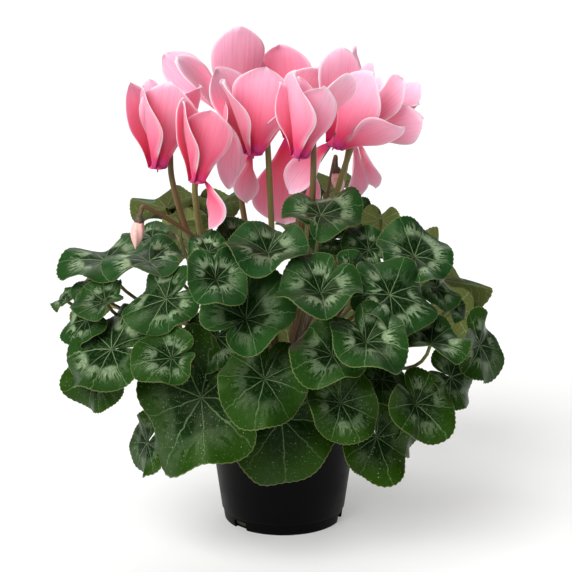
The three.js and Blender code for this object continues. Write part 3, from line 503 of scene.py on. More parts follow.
class Skin:
    """Gathers the closed shells of one piece, in millimetres, with the three flat maps."""

    def __init__(self):
        self.points, self.maps, self.faces, self.slots = [], [], [], []

    def add(self, points, maps, faces, slots):
        first = sum(len(part) for part in self.points)
        self.points.append(np.asarray(points, float).reshape(-1, 3))
        self.maps.append(np.asarray(maps, float))
        self.faces += [tuple(int(i) + first for i in face) for face in faces]
        self.slots += slots

    def sheet(self, top, bottom, maps, top_slot=0, bottom_slot=0):
        """A thin closed sheet between two grids of points."""
        number = np.arange(top.shape[0] * top.shape[1]).reshape(top.shape[:2])
        corners = (number[:-1, :-1], number[:-1, 1:], number[1:, 1:], number[1:, :-1])
        faces, slots = [], []
        for quad in zip(*(part.ravel() for part in corners)):
            faces += [quad, [i + number.size for i in reversed(quad)]]
            slots += [top_slot, bottom_slot]
        border = np.concatenate([number[0], number[1:, -1], number[-1, -2::-1], number[-2:0:-1, 0]])
        for a, b in zip(border, np.roll(border, -1)):
            faces.append((b, a, a + number.size, b + number.size))
            slots.append(top_slot)
        self.add([top, bottom], np.vstack([maps, maps]), faces, slots)

    def tube(self, line, radii, sides, slot=0, seed=0.5):
        """A round stem along a line, with closed ends."""
        ways = np.gradient(line, axis=0)
        ways /= np.linalg.norm(ways, axis=1)[:, None]
        level = unit(np.cross(ways[0], (0.3, 0.9, 0.2)))
        turns = np.arange(sides) / sides
        angles = 2 * math.pi * turns[:, None]
        run = run_along(line)
        rings, maps = [], []
        for middle, way, radius, far in zip(line, ways, radii, run):
            level = unit(level - way * np.dot(level, way))
            rings.append(middle + radius * (np.cos(angles) * level + np.sin(angles) * np.cross(way, level)))
            girth = 2 * math.pi * radius
            maps += [(girth * t / MAP_MM, far / MAP_MM, far / run[-1], t, seed, 0) for t in turns]
        last = (len(rings) - 1) * sides
        faces = band(0, sides, len(rings)) + [range(sides)[::-1], range(last, last + sides)]
        self.add(rings, maps, faces, [slot] * len(faces))

    def turned(self, profile, sides, turn=np.eye(3), at=(0, 0, 0), lobes=None, slot=0, relief=None):
        """A turned shape from the axis to the axis, which may have lobes or a relief."""
        angles = 2 * math.pi * np.arange(sides) / sides
        rings = []
        for k, (radius, height) in enumerate(profile):
            reach, drop = lobes(k, radius, angles) if lobes else (radius, 0)
            ring = np.broadcast_arrays(reach * np.cos(angles), reach * np.sin(angles), height + drop)
            rings.append(np.column_stack(ring))
        rings[0], rings[-1] = rings[0][:1], rings[-1][:1]
        if relief:
            rings = [relief(ring) for ring in rings]
        maps = []
        for k, ring in enumerate(rings):
            share = k / (len(rings) - 1)
            for j, (x, y, z) in enumerate(ring / MAP_MM):
                maps.append((x, y + z, share, j / sides, 0.5, 0))
        faces = band(1, sides, len(rings) - 2)
        end = 1 + (len(rings) - 3) * sides
        for c in range(sides):
            d = (c + 1) % sides
            faces += [(0, 1 + d, 1 + c), (end + c, end + d, end + sides)]
        self.add(np.vstack(rings) @ turn.T + at, maps, faces, [slot] * len(faces))

    def build(self, name, materials, replaces):
        """Makes the piece, puts it on the frame and hides the solid it stands for."""
        mesh = bpy.data.meshes.new(name)
        mesh.from_pydata((np.vstack(self.points) * MM).tolist(), [], self.faces)
        mesh.polygons.foreach_set("material_index", np.array(self.slots, np.int32))
        mesh.polygons.foreach_set("use_smooth", np.ones(len(self.faces), bool))
        corners = np.zeros(len(mesh.loops), np.int32)
        mesh.loops.foreach_get("vertex_index", corners)
        maps = np.vstack(self.maps)[corners]
        for i, layer in enumerate((FLAT_MAP, SHARE_MAP, OWN_MAP)):
            mesh.uv_layers.new(name=layer).data.foreach_set("uv", maps[:, 2 * i : 2 * i + 2].ravel())
        shells = bmesh.new()
        shells.from_mesh(mesh)
        bmesh.ops.recalc_face_normals(shells, faces=shells.faces)
        shells.to_mesh(mesh)
        shells.free()
        for material in materials:
            mesh.materials.append(material)
        piece = bpy.data.objects.new(name, mesh)
        bpy.context.scene.collection.objects.link(piece)
        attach(piece, "root")
        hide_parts(replaces)
        return piece


def add_node(tree, kind, inputs=(), out=0, stops=(), **settings):
    """Adds a node with its settings, its ramp's stops and its inputs, and gives back one output."""
    made = tree.nodes.new("ShaderNode" + kind)
    for name, value in settings.items():
        setattr(made, name, value)
    for i, (place, colour) in enumerate(stops):
        ramp = made.color_ramp.elements
        stop = ramp[i] if i < len(ramp) else ramp.new(place)
        stop.position = place
        stop.color = colour
    for key, value in inputs.items() if isinstance(inputs, dict) else enumerate(inputs):
        if isinstance(value, bpy.types.NodeSocket):
            tree.links.new(value, made.inputs[key])
        else:
            made.inputs[key].default_value = value
    return made.outputs[out] if made.outputs else made


def new_material(name):
    """An empty material, with a function that adds nodes to it."""
    material = bpy.data.materials.new(name)
    material.use_nodes = True
    material.node_tree.nodes.clear()
    return material, partial(add_node, material.node_tree)


def read_maps(add, *names):
    """The two numbers that each of some flat maps holds, as X and Y."""
    return [add("SeparateXYZ", (add("UVMap", uv_map=name),)).node.outputs for name in names]


def from_middle(add, value):
    """How far a number is from the middle of its whole step, from 0 to 0.5."""
    part = add("Math", (value,), operation="FRACT")
    part = add("Math", (part, 0.5), **MINUS)
    return add("Math", (part,), operation="ABSOLUTE")


def tinted(add, colour, tints):
    """A colour with others laid over it, each with its share."""
    for share, tint in tints:
        colour = add("Mix", {0: share, 6: colour, 7: tint}, **COLOURS)
    return colour


def surface(material, add, relief, strength, depth_mm, **sockets):
    """Ends a material with its shader, in a relief so many millimetres deep."""
    bump = add("Bump", {"Strength": strength, "Distance": depth_mm * MM, "Height": relief})
    named = {name.replace("_", " "): value for name, value in sockets.items()}
    add("OutputMaterial", (add("BsdfPrincipled", {**named, "Normal": bump}),))
    return material


def silver_patches(add, seed, share, turned, beside, wander, mottle):
    """A silvery patch between each two main veins: rounded towards the petiole and pronged outwards."""
    # Every patch has its own size and place, and some are missing.
    number = add("Math", (turned, LEAF_VEINS, 0.5), **TIMES_PLUS)
    number = add("Math", (number,), operation="FLOOR")
    number = add("Math", (number, seed))
    chance = add("TexWhiteNoise", {"W": number}, out="Color", noise_dimensions="1D")
    chance = add("SeparateXYZ", (chance,)).node.outputs
    prongs = [add("Math", pair, **TIMES) for pair in ((turned, 80.0), (share, 3.0))]
    prong = add("TexNoise", {"Vector": add("CombineXYZ", (*prongs, seed)), "Scale": 1.0, "Detail": 1.0})
    finger = add("MapRange", (prong, 0.4, 0.6, 0.4, 2.1))
    middle = add("Math", (chance["X"], 0.14, 0.46), **TIMES_PLUS)
    beyond = add("Math", (share, middle), **MINUS)
    height = add("MapRange", (beyond, -0.01, 0.02, 1.0, finger))
    height = add("Math", (height, 0.115), **TIMES)
    width = add("Math", (chance["Y"], 0.3, 0.34), **TIMES_PLUS)
    across = add("Math", (0.5, beside), **MINUS)
    reach = [add("Math", pair, operation="DIVIDE") for pair in ((beyond, height), (across, width))]
    reach.append(add("Math", (wander, 2.2), **TIMES))
    reach = add("VectorMath", (add("CombineXYZ", reach),), out="Value", operation="LENGTH")
    patch = add("MapRange", (reach, 0.5, 1.2, 1.0, 0.0), **SMOOTH)
    present = add("MapRange", (chance["Z"], 0.15, 0.55, 0.1, 1.0), **SMOOTH)
    cloud = add("MapRange", (mottle, 0.35, 0.6, 0.55, 1.0))
    for factor in (present, cloud):
        patch = add("Math", (patch, factor), **TIMES)
    # Thin pale threads run on from the prongs.
    thread = add("Math", (prong, 0.5), **MINUS)
    thread = add("Math", (thread,), operation="ABSOLUTE")
    thread = add("MapRange", (thread, 0.008, 0.04, 0.8, 0.0))
    ahead = add("MapRange", (beyond, 0.0, 0.04, 0.0, 1.0))
    behind = add("MapRange", (beyond, 0.14, 0.3, 1.0, 0.0))
    for factor in (ahead, behind, present):
        thread = add("Math", (thread, factor), **TIMES)
    return add("Math", (patch, thread), operation="MAXIMUM")


def leaf_skin(look, underside=False):
    """Living leaf skin, grown with a waxy cuticle: a satin sheen over marbled green."""
    material, add = new_material("leaf_underside_skin" if underside else "leaf_marbled_skin")
    flat = add("UVMap", uv_map=FLAT_MAP)
    shares, own = read_maps(add, SHARE_MAP, OWN_MAP)
    # depth: how low the leaf sits, which darkens it as painted shade, with a little tone of its own.
    share, depth, marbled = shares["X"], own["X"], own["Y"]
    seed = add("Math", (depth, SEED_STRETCH), **TIMES)
    # Blotches about 7 mm across, and mottling about 1.6 mm across.
    rough = {"Vector": flat, "W": seed, "Roughness": 0.6}
    blotch = add("TexNoise", {**rough, "Scale": MAP_MM / 7, "Detail": 3.0}, **OWN_NOISE)
    mottle = add("TexNoise", {**rough, "Scale": MAP_MM / 1.6, "Detail": 2.0}, **OWN_NOISE)
    # The main veins fan out from the petiole and wander a little.
    wander = add("Math", (blotch, 0.5), **MINUS)
    turned = add("Math", (wander, 0.035, shares["Y"]), **TIMES_PLUS)
    beside = from_middle(add, add("Math", (turned, LEAF_VEINS), **TIMES))
    # The distance to the nearest main vein in millimetres, on a blade that reaches about 27 mm.
    off = add("Math", (beside, share), **TIMES)
    off = add("Math", (off, 2 * math.pi * 27 / LEAF_VEINS), **TIMES)
    main = add("MapRange", (off, 0.06, 0.38, 1.0, 0.0), **SMOOTH)
    # Side veins leave the main ones every 5 mm and slant outwards.
    slant = add("Math", (beside, -2.4, wander), **TIMES_PLUS)
    comb = from_middle(add, add("Math", (share, 5.4, slant), **TIMES_PLUS))
    side = add("MapRange", (comb, 0.02, 0.11, 1.0, 0.0), **SMOOTH)
    if underside:
        colour = add("Mix", {0: mottle, 6: look.underside, 7: look.underside_blush}, **COLOURS)
        veins = add("Math", (side, 0.35, main), **TIMES_PLUS, use_clamp=True)
        tints = [(add("Math", (veins, 0.6), **TIMES), linear(0xC2C39A))]
    else:
        # Each leaf's green turns from bluish at the top of the dome to darker and yellowish low down: painted
        # shade, with a little tone of each leaf's own.
        colour = add("Mix", {0: depth, 6: look.leaf_green, 7: look.leaf_low_shaded}, **COLOURS)
        outer = add("MapRange", (share, 0.3, 0.85, 0.0, 1.0), **SMOOTH)
        colour = add("Mix", {0: outer, 6: look.leaf_heart, 7: colour}, **COLOURS)
        worn = add("Math", (mottle, -0.5, 0.55), **TIMES_PLUS)
        # The marbling is fainter low down, as painted shade.
        silver = silver_patches(add, seed, share, turned, beside, wander, mottle)
        fainter = add("MapRange", (depth, 0.1, 0.9, 0.8, 0.45))
        for factor in (marbled, fainter):
            silver = add("Math", (silver, factor), **TIMES)
        # The veins are palest inside the ring of patches.
        inner = add("MapRange", (share, 0.4, 0.7, 0.2, 0.08))
        veins = add("Math", (side, inner, main), **TIMES_PLUS, use_clamp=True)
        faint = add("MapRange", (share, 0.4, 0.8, 0.5, 0.25))
        for factor in (add("Math", (marbled, 0.5, 0.5), **TIMES_PLUS), veins):
            faint = add("Math", (faint, factor), **TIMES)
        # Pale specks about 0.5 mm across are strewn over the blades low down.
        speck = {"Vector": flat, "W": seed, "Scale": MAP_MM / 0.9, "Detail": 0.0}
        speck = add("MapRange", (add("TexNoise", speck, **OWN_NOISE), 0.73, 0.82, 0.0, 0.6))
        speck = add("Math", (speck, depth), **TIMES)
        tints = [(worn, linear(0x0D1F06)), (silver, look.silver), (faint, look.vein), (speck, look.silver)]
    rim = add("MapRange", (share, 0.976, 0.996, 0.0, 1.0), **SMOOTH)
    tints.append((add("Math", (rim, 0.45), **TIMES), look.margin))
    # The veins lie in shallow furrows, and the skin between them is finely puckered.
    return surface(
        material,
        add,
        relief=add("Math", (veins, -0.8, mottle), **TIMES_PLUS),
        strength=0.35,
        depth_mm=0.5,
        Base_Color=tinted(add, colour, tints),
        Roughness=0.6 if underside else 0.34,
        IOR=1.45,
        Specular_IOR_Level=0.12,
        Specular_Tint=(0.75, 0.95, 0.5, 1),
    )


def petal_tissue(look):
    """Thin living petal tissue: velvety, lit through, with fine veins along it and a pale margin."""
    material, add = new_material("petal_tissue")
    shares, own, flat = read_maps(add, SHARE_MAP, OWN_MAP, FLAT_MAP)
    along, tone, to_edge = shares["X"], own["Y"], flat["X"]
    # Veins run from the base to the tip, about 0.6 mm apart.
    stretches = ((shares["Y"], 62.0), (along, 2.0), (own["X"], SEED_STRETCH))
    lines = add("CombineXYZ", [add("Math", pair, **TIMES) for pair in stretches])
    veins = add("TexNoise", {"Vector": lines, "Scale": 1.0, "Detail": 3.0, "Roughness": 0.6})
    drift = add("Math", (veins, 0.06, along), **TIMES_PLUS)
    hues = (look.eye, look.throat, look.petal_deep, look.petal, look.petal_tip)
    body = add("ValToRGB", (drift,), stops=zip((0.02, 0.08, 0.18, 0.42, 0.95), hues))
    lined = add("MapRange", (veins, 0.46, 0.66, 0.0, 0.2), **SMOOTH)
    # Each flower has its own tone, deeper above zero and paler below.
    faded = add("Math", (tone, -1.0), **TIMES, use_clamp=True)
    # The edge is pale for about 0.6 mm and fades over 4 mm, and less so beside the eye.
    near = add("MapRange", (to_edge, 0.0, 0.04, 0.32, 0.0), **SMOOTH)
    edge = add("MapRange", (to_edge, 0.002, 0.008, 0.85, 0.0), **SMOOTH)
    past_eye = add("MapRange", (along, 0.1, 0.24, 0.0, 1.0), **SMOOTH)
    pale = add("Math", (near, edge), operation="MAXIMUM")
    pale = add("Math", (pale, past_eye), **TIMES)
    tints = [(tone, look.petal_deep), (faded, look.petal_tip)]
    tints += [(lined, look.petal_deep), (pale, look.petal_margin)]
    return surface(
        material,
        add,
        relief=veins,
        strength=0.25,
        depth_mm=0.3,
        Base_Color=tinted(add, body, tints),
        Roughness=0.55,
        IOR=1.42,
        Specular_IOR_Level=0.3,
        Subsurface_Weight=0.6,
        Subsurface_Radius=(1.0, 0.4, 0.45),
        Subsurface_Scale=3.0 * MM,
        Sheen_Weight=0.15,
        Sheen_Roughness=0.4,
    )


def stem_skin(name, low, high, roughness):
    """Fleshy stem skin, grown smooth: slightly glossy, speckled, and turning from one colour to another."""
    material, add = new_material(name)
    shares, own = read_maps(add, SHARE_MAP, OWN_MAP)
    # Speckles about 1.5 mm long.
    place = add("TexCoord", out="Object")
    specks = add("TexNoise", {"Vector": place, "Scale": 1 / (1.5 * MM), "Detail": 3.0})
    drift = add("Math", (specks, 0.5, shares["X"]), **TIMES_PLUS)
    drift = add("Math", (own["X"], 0.9, drift), **TIMES_PLUS)
    drift = add("Math", (drift, 0.7), **MINUS, use_clamp=True)
    colour = tinted(add, linear(low), [(drift, linear(high))])
    finish = {"Base_Color": colour, "Roughness": roughness, "IOR": 1.45}
    return surface(material, add, relief=specks, strength=0.15, depth_mm=0.2, **finish)


def grained(name, dark, light, size_mm, roughness, depth_mm):
    """A rough natural skin: grains of two tones with a matching relief."""
    material, add = new_material(name)
    place = add("TexCoord", out="Object")
    grain = {"Vector": place, "Scale": 1 / (size_mm * MM), "Detail": 6.0, "Roughness": 0.65}
    grain = add("TexNoise", grain)
    spread = add("MapRange", (grain, 0.35, 0.65, 0.0, 1.0))
    colour = tinted(add, dark, [(spread, light)])
    finish = {"Base_Color": colour, "Roughness": roughness}
    return surface(material, add, relief=grain, strength=0.8, depth_mm=depth_mm, **finish)


def moulded_polypropylene(look):
    """Black polypropylene, injection moulded: satin, with a faint orange-peel skin and scuffs."""
    material, add = new_material("polypropylene_moulded_black")
    place = add("TexCoord", out="Object")
    peel, scuffs = (
        add("TexNoise", {"Vector": place, "Scale": 1 / (size * MM), "Detail": detail})
        for size, detail in ((1.2, 2.0), (22, 5.0))
    )
    dusty = add("MapRange", (scuffs, 0.45, 0.75, 0.0, 0.25))
    rough = add("MapRange", (scuffs, 0.3, 0.7, 0.36, 0.5))
    colour = tinted(add, look.pot_colour, [(dusty, linear(0x0A0A0B))])
    finish = {"Base_Color": colour, "Roughness": rough, "IOR": 1.49, "Specular_IOR_Level": 0.07}
    return surface(material, add, relief=peel, strength=0.12, depth_mm=0.15, **finish)


def leaf_reach(leaf, angle):
    """The distance from the petiole to the edge of a heart-shaped blade."""
    round_part = 0.5 + 0.05 * np.cos(angle) + 0.03 * np.cos(2 * angle) + 0.02 * np.cos(3 * angle)
    shoulder = 1 - 0.42 * np.abs(angle / math.pi) ** 16
    corners = 1 + 0.09 * leaf["ivy"] * np.cos(5 * angle)
    own = 1 + 0.03 * np.sin(2 * angle + leaf["phase"]) + 0.02 * np.sin(3 * angle - 2 * leaf["phase"])
    return leaf["width"] * round_part * shoulder * corners * own


def add_leaf(skin, leaf, look):
    """A blade that curves from its slope at the petiole to its slope at the rim, on its petiole."""
    shares = np.array(LEAF_SHARES)[:, None]
    # The two lobes beside the cleft close, and lap over each other towards the rim.
    lap = np.clip((shares - 0.35) / 0.4, 0, 1)
    half_turn = math.pi - math.radians(BLADE["cleft"]) + look.lap * lap * lap * (3 - 2 * lap)
    steps = 2 * look.teeth
    run = np.linspace(-1, 1, steps + 1)
    angles = half_turn * run
    scallop = -BLADE["scallop"] * np.cos(math.pi * BLADE["scallops"] * (run + 1))
    teeth = look.tooth_depth / MM / leaf["width"] * np.where(np.arange(steps + 1) % 2, 1, -1)
    reach = leaf_reach(leaf, angles) * (1 + scallop + teeth * shares**6)
    inner = math.radians(leaf["cup"])
    phase = leaf["phase"]
    waves = BLADE["wave"] * np.sin(4 * angles + 3 * phase) + BLADE["fold"] * np.sin(2 * angles + phase)
    rim = leaf["rim"] - BLADE["droop"] * np.cos(angles) + waves
    change = np.radians(rim) - inner
    change = np.where(np.abs(change) < 1e-3, 1e-3, change)
    slope = inner + change * shares
    out = reach * (np.sin(slope) - math.sin(inner)) / change
    height = reach * (math.cos(inner) - np.cos(slope)) / change
    sine, cosine = np.sin(angles), np.cos(angles)
    normals = np.stack(np.broadcast_arrays(-np.sin(slope) * sine, -np.sin(slope) * cosine, np.cos(slope)), 2)
    # The blade puffs up between its veins, and its edge ripples.
    relief = look.pucker * shares * (1 - shares**3) * (0.5 - 0.5 * np.cos(LEAF_VEINS * angles))
    ripple = np.sin(6 * angles + 2 * phase) + 0.5 * np.sin(11 * angles + 5 * phase)
    relief = relief + look.ripple * ripple * shares**3
    # One lobe lies above the other by the cleft.
    beside_cleft = np.clip((np.abs(run) - 0.55) / 0.4, 0, 1) ** 2
    over = 1 if math.sin(5 * phase) > 0 else -1
    relief = relief + over * np.sign(run) * beside_cleft * look.lap_rise * np.minimum(shares * 2, 1)
    points = np.stack([out * sine, out * cosine, height], 2) + normals * relief[..., None] / MM
    thick = normals * (look.leaf_thickness / MM * (1 - 0.45 * shares**2) / 2)[..., None]
    beside = reach * shares / MAP_MM
    turns = angles / (2 * math.pi) + 0.5
    maps = point_maps(0.5 + beside * sine, 0.5 + beside * cosine, shares, turns, leaf["seed"], leaf["silver"])
    top, bottom = ((points + half) @ leaf["axes"].T + leaf["at"] for half in (thick, -thick))
    skin.sheet(top, bottom, maps, 0, 1)
    line = spaced(leaf["route"], 18)
    line[-1] = line[-1] + leaf["normal"] * 0.3
    radii = PETIOLE["radius"] * np.interp(np.linspace(0, 1, 19), (0, 0.5, 1), (1.15, 1.0, 0.9))
    skin.tube(line, radii, 10, 2, leaf["seed"])


def add_stub(skin, start, slot):
    """The short woody trunk that neighbouring stems share."""
    foot = 0.5 - STUB["below"] - STUB["above"]
    heights = (foot, foot, -STUB["above"], -1.5, -0.2, 0.4, 0.5)
    profile = zip(STUB["radius"] * np.array([0, 0.95, 1, 0.92, 0.75, 0.4, 0]), heights)
    lobes = lambda k, r, a: (r * (1 + 0.06 * np.cos(3 * a + k)), 0)
    skin.turned(profile, 14, at=start, slot=slot, lobes=lobes)


def add_petal(skin, flower, azimuth, shape, look, seed, tone):
    """A petal swept back from the mouth, twisted about its middle line, with a waved edge."""
    lean, curl, length, width = shape
    turn, mouth = flower_frame(flower)
    outward = heading(azimuth)
    along = np.cross(UP, outward)
    shares = np.linspace(0, 1, PETAL["rows"]) ** 0.85
    slopes = np.radians(lean + curl * shares)[:, None]
    halfway = np.radians(lean + curl * (shares[1:] + shares[:-1]) / 2)[:, None]
    moves = np.diff(shares)[:, None] * length * (np.sin(halfway) * outward + np.cos(halfway) * UP)
    middle = np.vstack([np.zeros(3), np.cumsum(moves, axis=0)]) + outward * (TUBE["mouth"] - 0.9) + UP * 0.5
    face = np.cross(along, np.sin(slopes) * outward + np.cos(slopes) * UP)
    twist = math.radians(PETAL["twist"])
    across = along * math.cos(twist) + face * math.sin(twist)
    normal = face * math.cos(twist) - along * math.sin(twist)
    half = smooth_values(shares, PETAL["shares"], PETAL["widths"]) * width / 2
    half = half * np.sqrt(1 - shares**9 * 0.995)
    u = np.linspace(-1, 1, PETAL["columns"])
    s = shares[:, None]
    # Each half bows back from the middle line, and the edges wave more towards the tip.
    bow = look.petal_bow * width * (0.35 - u**2) * np.sin(math.pi * np.minimum(s * 1.15, 1)) ** 0.8
    wave = look.petal_wave / MM * s * np.abs(u) ** 1.5 * np.sin(7 * s + 2.2 * np.sign(u) + seed * 40)
    crease = -0.5 * np.exp(-((u / 0.12) ** 2)) * (1 - s)
    lift = normal[:, None] * (bow + wave + crease)[..., None]
    points = middle[:, None] + across[:, None] * (half[:, None] * u)[..., None] + lift
    thick = look.petal_thickness / MM / 2 * (1 - 0.35 * u**2) * (1.4 - 0.6 * s)
    thick = thick[..., None] * normal[:, None]
    to_edge = np.minimum(half[:, None] * (1 - np.abs(u)), length * (1 - s) * 0.8)
    maps = point_maps(to_edge / MAP_MM, s * length / MAP_MM, s, 0.5 + half[:, None] * u / 40, seed, tone)
    top, bottom = ((points + part) @ turn.T + mouth for part in (thick, -thick))
    skin.sheet(top, bottom, maps)


def add_calyx(skin, turn, at, radius, bottom, slot):
    """Five pointed sepals round the neck of the flower."""

    def lobes(k, reach, angles):
        tip = (np.cos(5 * angles) + 1) / 2
        hang = (-2.6 * tip**2, -2.6 * tip**2, -0.6 * tip, 0, 0, 0, 0)[k]
        return reach * (0.78 + 0.22 * tip if k in (1, 2) else 1), hang

    height, neck = CALYX["height"], CALYX["neck"]
    radii = (0, radius * 0.9, radius, radius * 0.86, neck * 1.1, neck * 0.8, 0)
    heights = (0.6, 0.3, 0.9, height * 0.5, height * 0.9, height * 1.15, height * 1.2)
    skin.turned([(r, bottom + h) for r, h in zip(radii, heights)], 30, turn, at, lobes, slot)


def make_stalk(name, materials, plan, radii, sides, seed, calyx):
    """The stalk of a flower or bud, on its stub and with its calyx."""
    start, route = plan
    skin = Skin()
    add_stub(skin, start, 0)
    line = smooth_curve(route, 8)
    skin.tube(line, np.linspace(*radii, len(line)), sides, 0, seed)
    add_calyx(skin, *calyx, 1)
    skin.build(name + "_stem", materials, name + "_stalk")


def colour_property(name, what, hex_colour):
    return FloatVectorProperty(
        name=name,
        description="Colour of " + what,
        default=linear(hex_colour),
        size=4,
        min=0,
        max=1,
        subtype="COLOR",
    )


def size_property(name, what, size_mm):
    return FloatProperty(name=name, description=what, default=size_mm * MM, min=0, unit="LENGTH")


def light_property(name, what, strength):
    return FloatProperty(name=name, description="Strength of " + what, default=strength, min=0)


class CyclamenPot(bpy.types.PropertyGroup):
    """Sizes and colours of the pot and what fills it."""

    pot_colour: colour_property("Pot colour", "the pot", 0x020203)
    pot_sides: IntProperty(name="Pot sides", description="Steps round the pot", default=160, min=24)
    peat_dark: colour_property("Peat, dark", "wet peat", 0x17110D)
    peat_light: colour_property("Peat, light", "dry peat", 0x4A3A2C)


class CyclamenLeaves(bpy.types.PropertyGroup):
    """Sizes and colours of the leaves."""

    teeth: IntProperty(name="Teeth", description="Fine teeth along a leaf's edge", default=62, min=6)
    tooth_depth: size_property("Tooth depth", "Depth of a tooth", 0.55)
    pucker: size_property("Pucker", "Rise between the veins", 1.0)
    ripple: size_property("Ripple", "Waves of a leaf's edge", 0.8)
    lap: FloatProperty(
        name="Lap", description="How far the lobes lap", default=math.radians(14), subtype="ANGLE"
    )
    lap_rise: size_property("Lap rise", "Rise of the upper lobe", 1.3)
    leaf_thickness: size_property("Thickness", "Thickness of a blade", 0.8)
    leaf_heart: colour_property("Heart", "a blade by its petiole", 0x082208)
    leaf_green: colour_property("Green", "the outer blade", 0x244A24)
    leaf_low_shaded: colour_property("Low", "the blades low down", 0x264300)
    silver: colour_property("Silver", "the marbling", 0x9FB58D)
    vein: colour_property("Veins", "the veins", 0x93AE7C)
    margin: colour_property("Margin", "the edge", 0x87905A)
    underside: colour_property("Underside", "the underside", 0x66783A)
    underside_blush: colour_property("Blush", "the underside's blush", 0x747A45)


class CyclamenFlowers(bpy.types.PropertyGroup):
    """Sizes and colours of the flowers and buds."""

    petal_thickness: size_property("Thickness", "Thickness of a petal", 0.6)
    petal_bow: FloatProperty(name="Bow", description="Bow of a petal as a share of its width", default=0.13)
    petal_wave: size_property("Wave", "Wave of a petal's edge", 3.2)
    petal_deep: colour_property("Deep", "a petal low down", 0xD93762)
    petal: colour_property("Petal", "a petal", 0xF27B99)
    petal_tip: colour_property("Tip", "a petal's tip", 0xFFBCD1)
    petal_margin: colour_property("Margin", "a petal's edge", 0xFFE6EE)
    throat: colour_property("Throat", "the throat, beside the eye", 0xC0307C)
    eye: colour_property("Eye", "the eye", 0x8E0F63)


class CyclamenStage(bpy.types.PropertyGroup):
    """The camera, the floor and the studio light."""

    camera_at: FloatVectorProperty(
        name="Camera",
        description="Place of the camera",
        default=(0.002, -1.3, 0.5),
        subtype="TRANSLATION",
        unit="LENGTH",
    )
    camera_pitch: FloatProperty(
        name="Pitch", description="Angle that it looks down", default=math.radians(14.15), subtype="ANGLE"
    )
    lens: FloatProperty(
        name="Lens", description="Focal length, for a 36 mm sensor", default=118.8, unit="CAMERA"
    )
    sky: light_property("Sky", "the light from all round", 0.08)
    key: light_property("Key", "the main soft light", 4.0)
    back: light_property("Back", "the soft light from behind", 1.8)
    glow: light_property("Glow", "the lit floor", 0.5)
    floor_colour: colour_property("Floor", "the floor", 0xCFCFCE)


class MakePot(bpy.types.Operator):
    """Makes the nursery pot"""

    bl_idname = "cyclamen.make_pot"
    bl_label = "Pot"

    def execute(self, context):
        look = context.scene.cyclamen_pot
        floor, foot, top = POT["floor"], POT["foot_height"], POT["height"]
        step, out, wall, rim = POT["foot_step"], POT["rim_out"], POT["wall"], top - POT["rim_height"]
        # The outside, up from the foot, and the inside, down to the floor: the height that the taper is
        # read at, what is added to its radius, and the height.
        places = (
            (0, -step - 5, 0),
            (0, -step - 0.5, 0),
            (0, -step, 0.5),
            (3, -step, 3),
            (foot, -step, foot),
            (foot, -0.12, foot + step * 0.7),
            (foot + step, 0, foot + step + 0.2),
            (30, 0, 30),
            (55, 0, 55),
            (rim, -0.05, rim),
            (rim, out * 0.8, rim + out * 0.7),
            (rim, out, rim + out),
            (top, out - 0.1, top - 0.6),
            (top, out - 0.6, top),
            (top, 0.5 - wall, top),
            (top, -wall, top - 0.5),
            (floor, -wall - step, floor),
        )
        skin = Skin()
        sides = [(pot_radius(read) + more, height) for read, more, height in places]
        skin.turned([(0, 0), *sides, (0, floor)], look.pot_sides)
        piece = skin.build("nursery_pot", [moulded_polypropylene(look)], "pot")
        cutters = []
        for azimuth in NOTCH["azimuths"]:
            at = heading(azimuth) * POT["base_radius"] * MM
            bpy.ops.mesh.primitive_cube_add(size=1, location=at, rotation=(0, 0, math.radians(azimuth)))
            context.object.scale = (NOTCH["width"] * MM, 2 * NOTCH["depth"] * MM, 2 * NOTCH["height"] * MM)
            cutters.append(context.object)
        for i in range(DRAIN["count"]):
            at = heading(360 * i / DRAIN["count"]) * DRAIN["ring"] * MM
            radius, depth = DRAIN["radius"] * MM, DRAIN["cut"] * MM
            bpy.ops.mesh.primitive_cylinder_add(radius=radius, depth=depth, location=at)
            cutters.append(context.object)
        for cutter in cutters:
            cut = piece.modifiers.new("cut", "BOOLEAN")
            cut.object = cutter
            cut.solver = "EXACT"
        shape = bpy.data.meshes.new_from_object(piece.evaluated_get(context.evaluated_depsgraph_get()))
        piece.modifiers.clear()
        piece.data = shape
        for cutter in cutters:
            bpy.data.objects.remove(cutter)
        shape.set_sharp_from_angle(angle=math.radians(32))
        return {"FINISHED"}


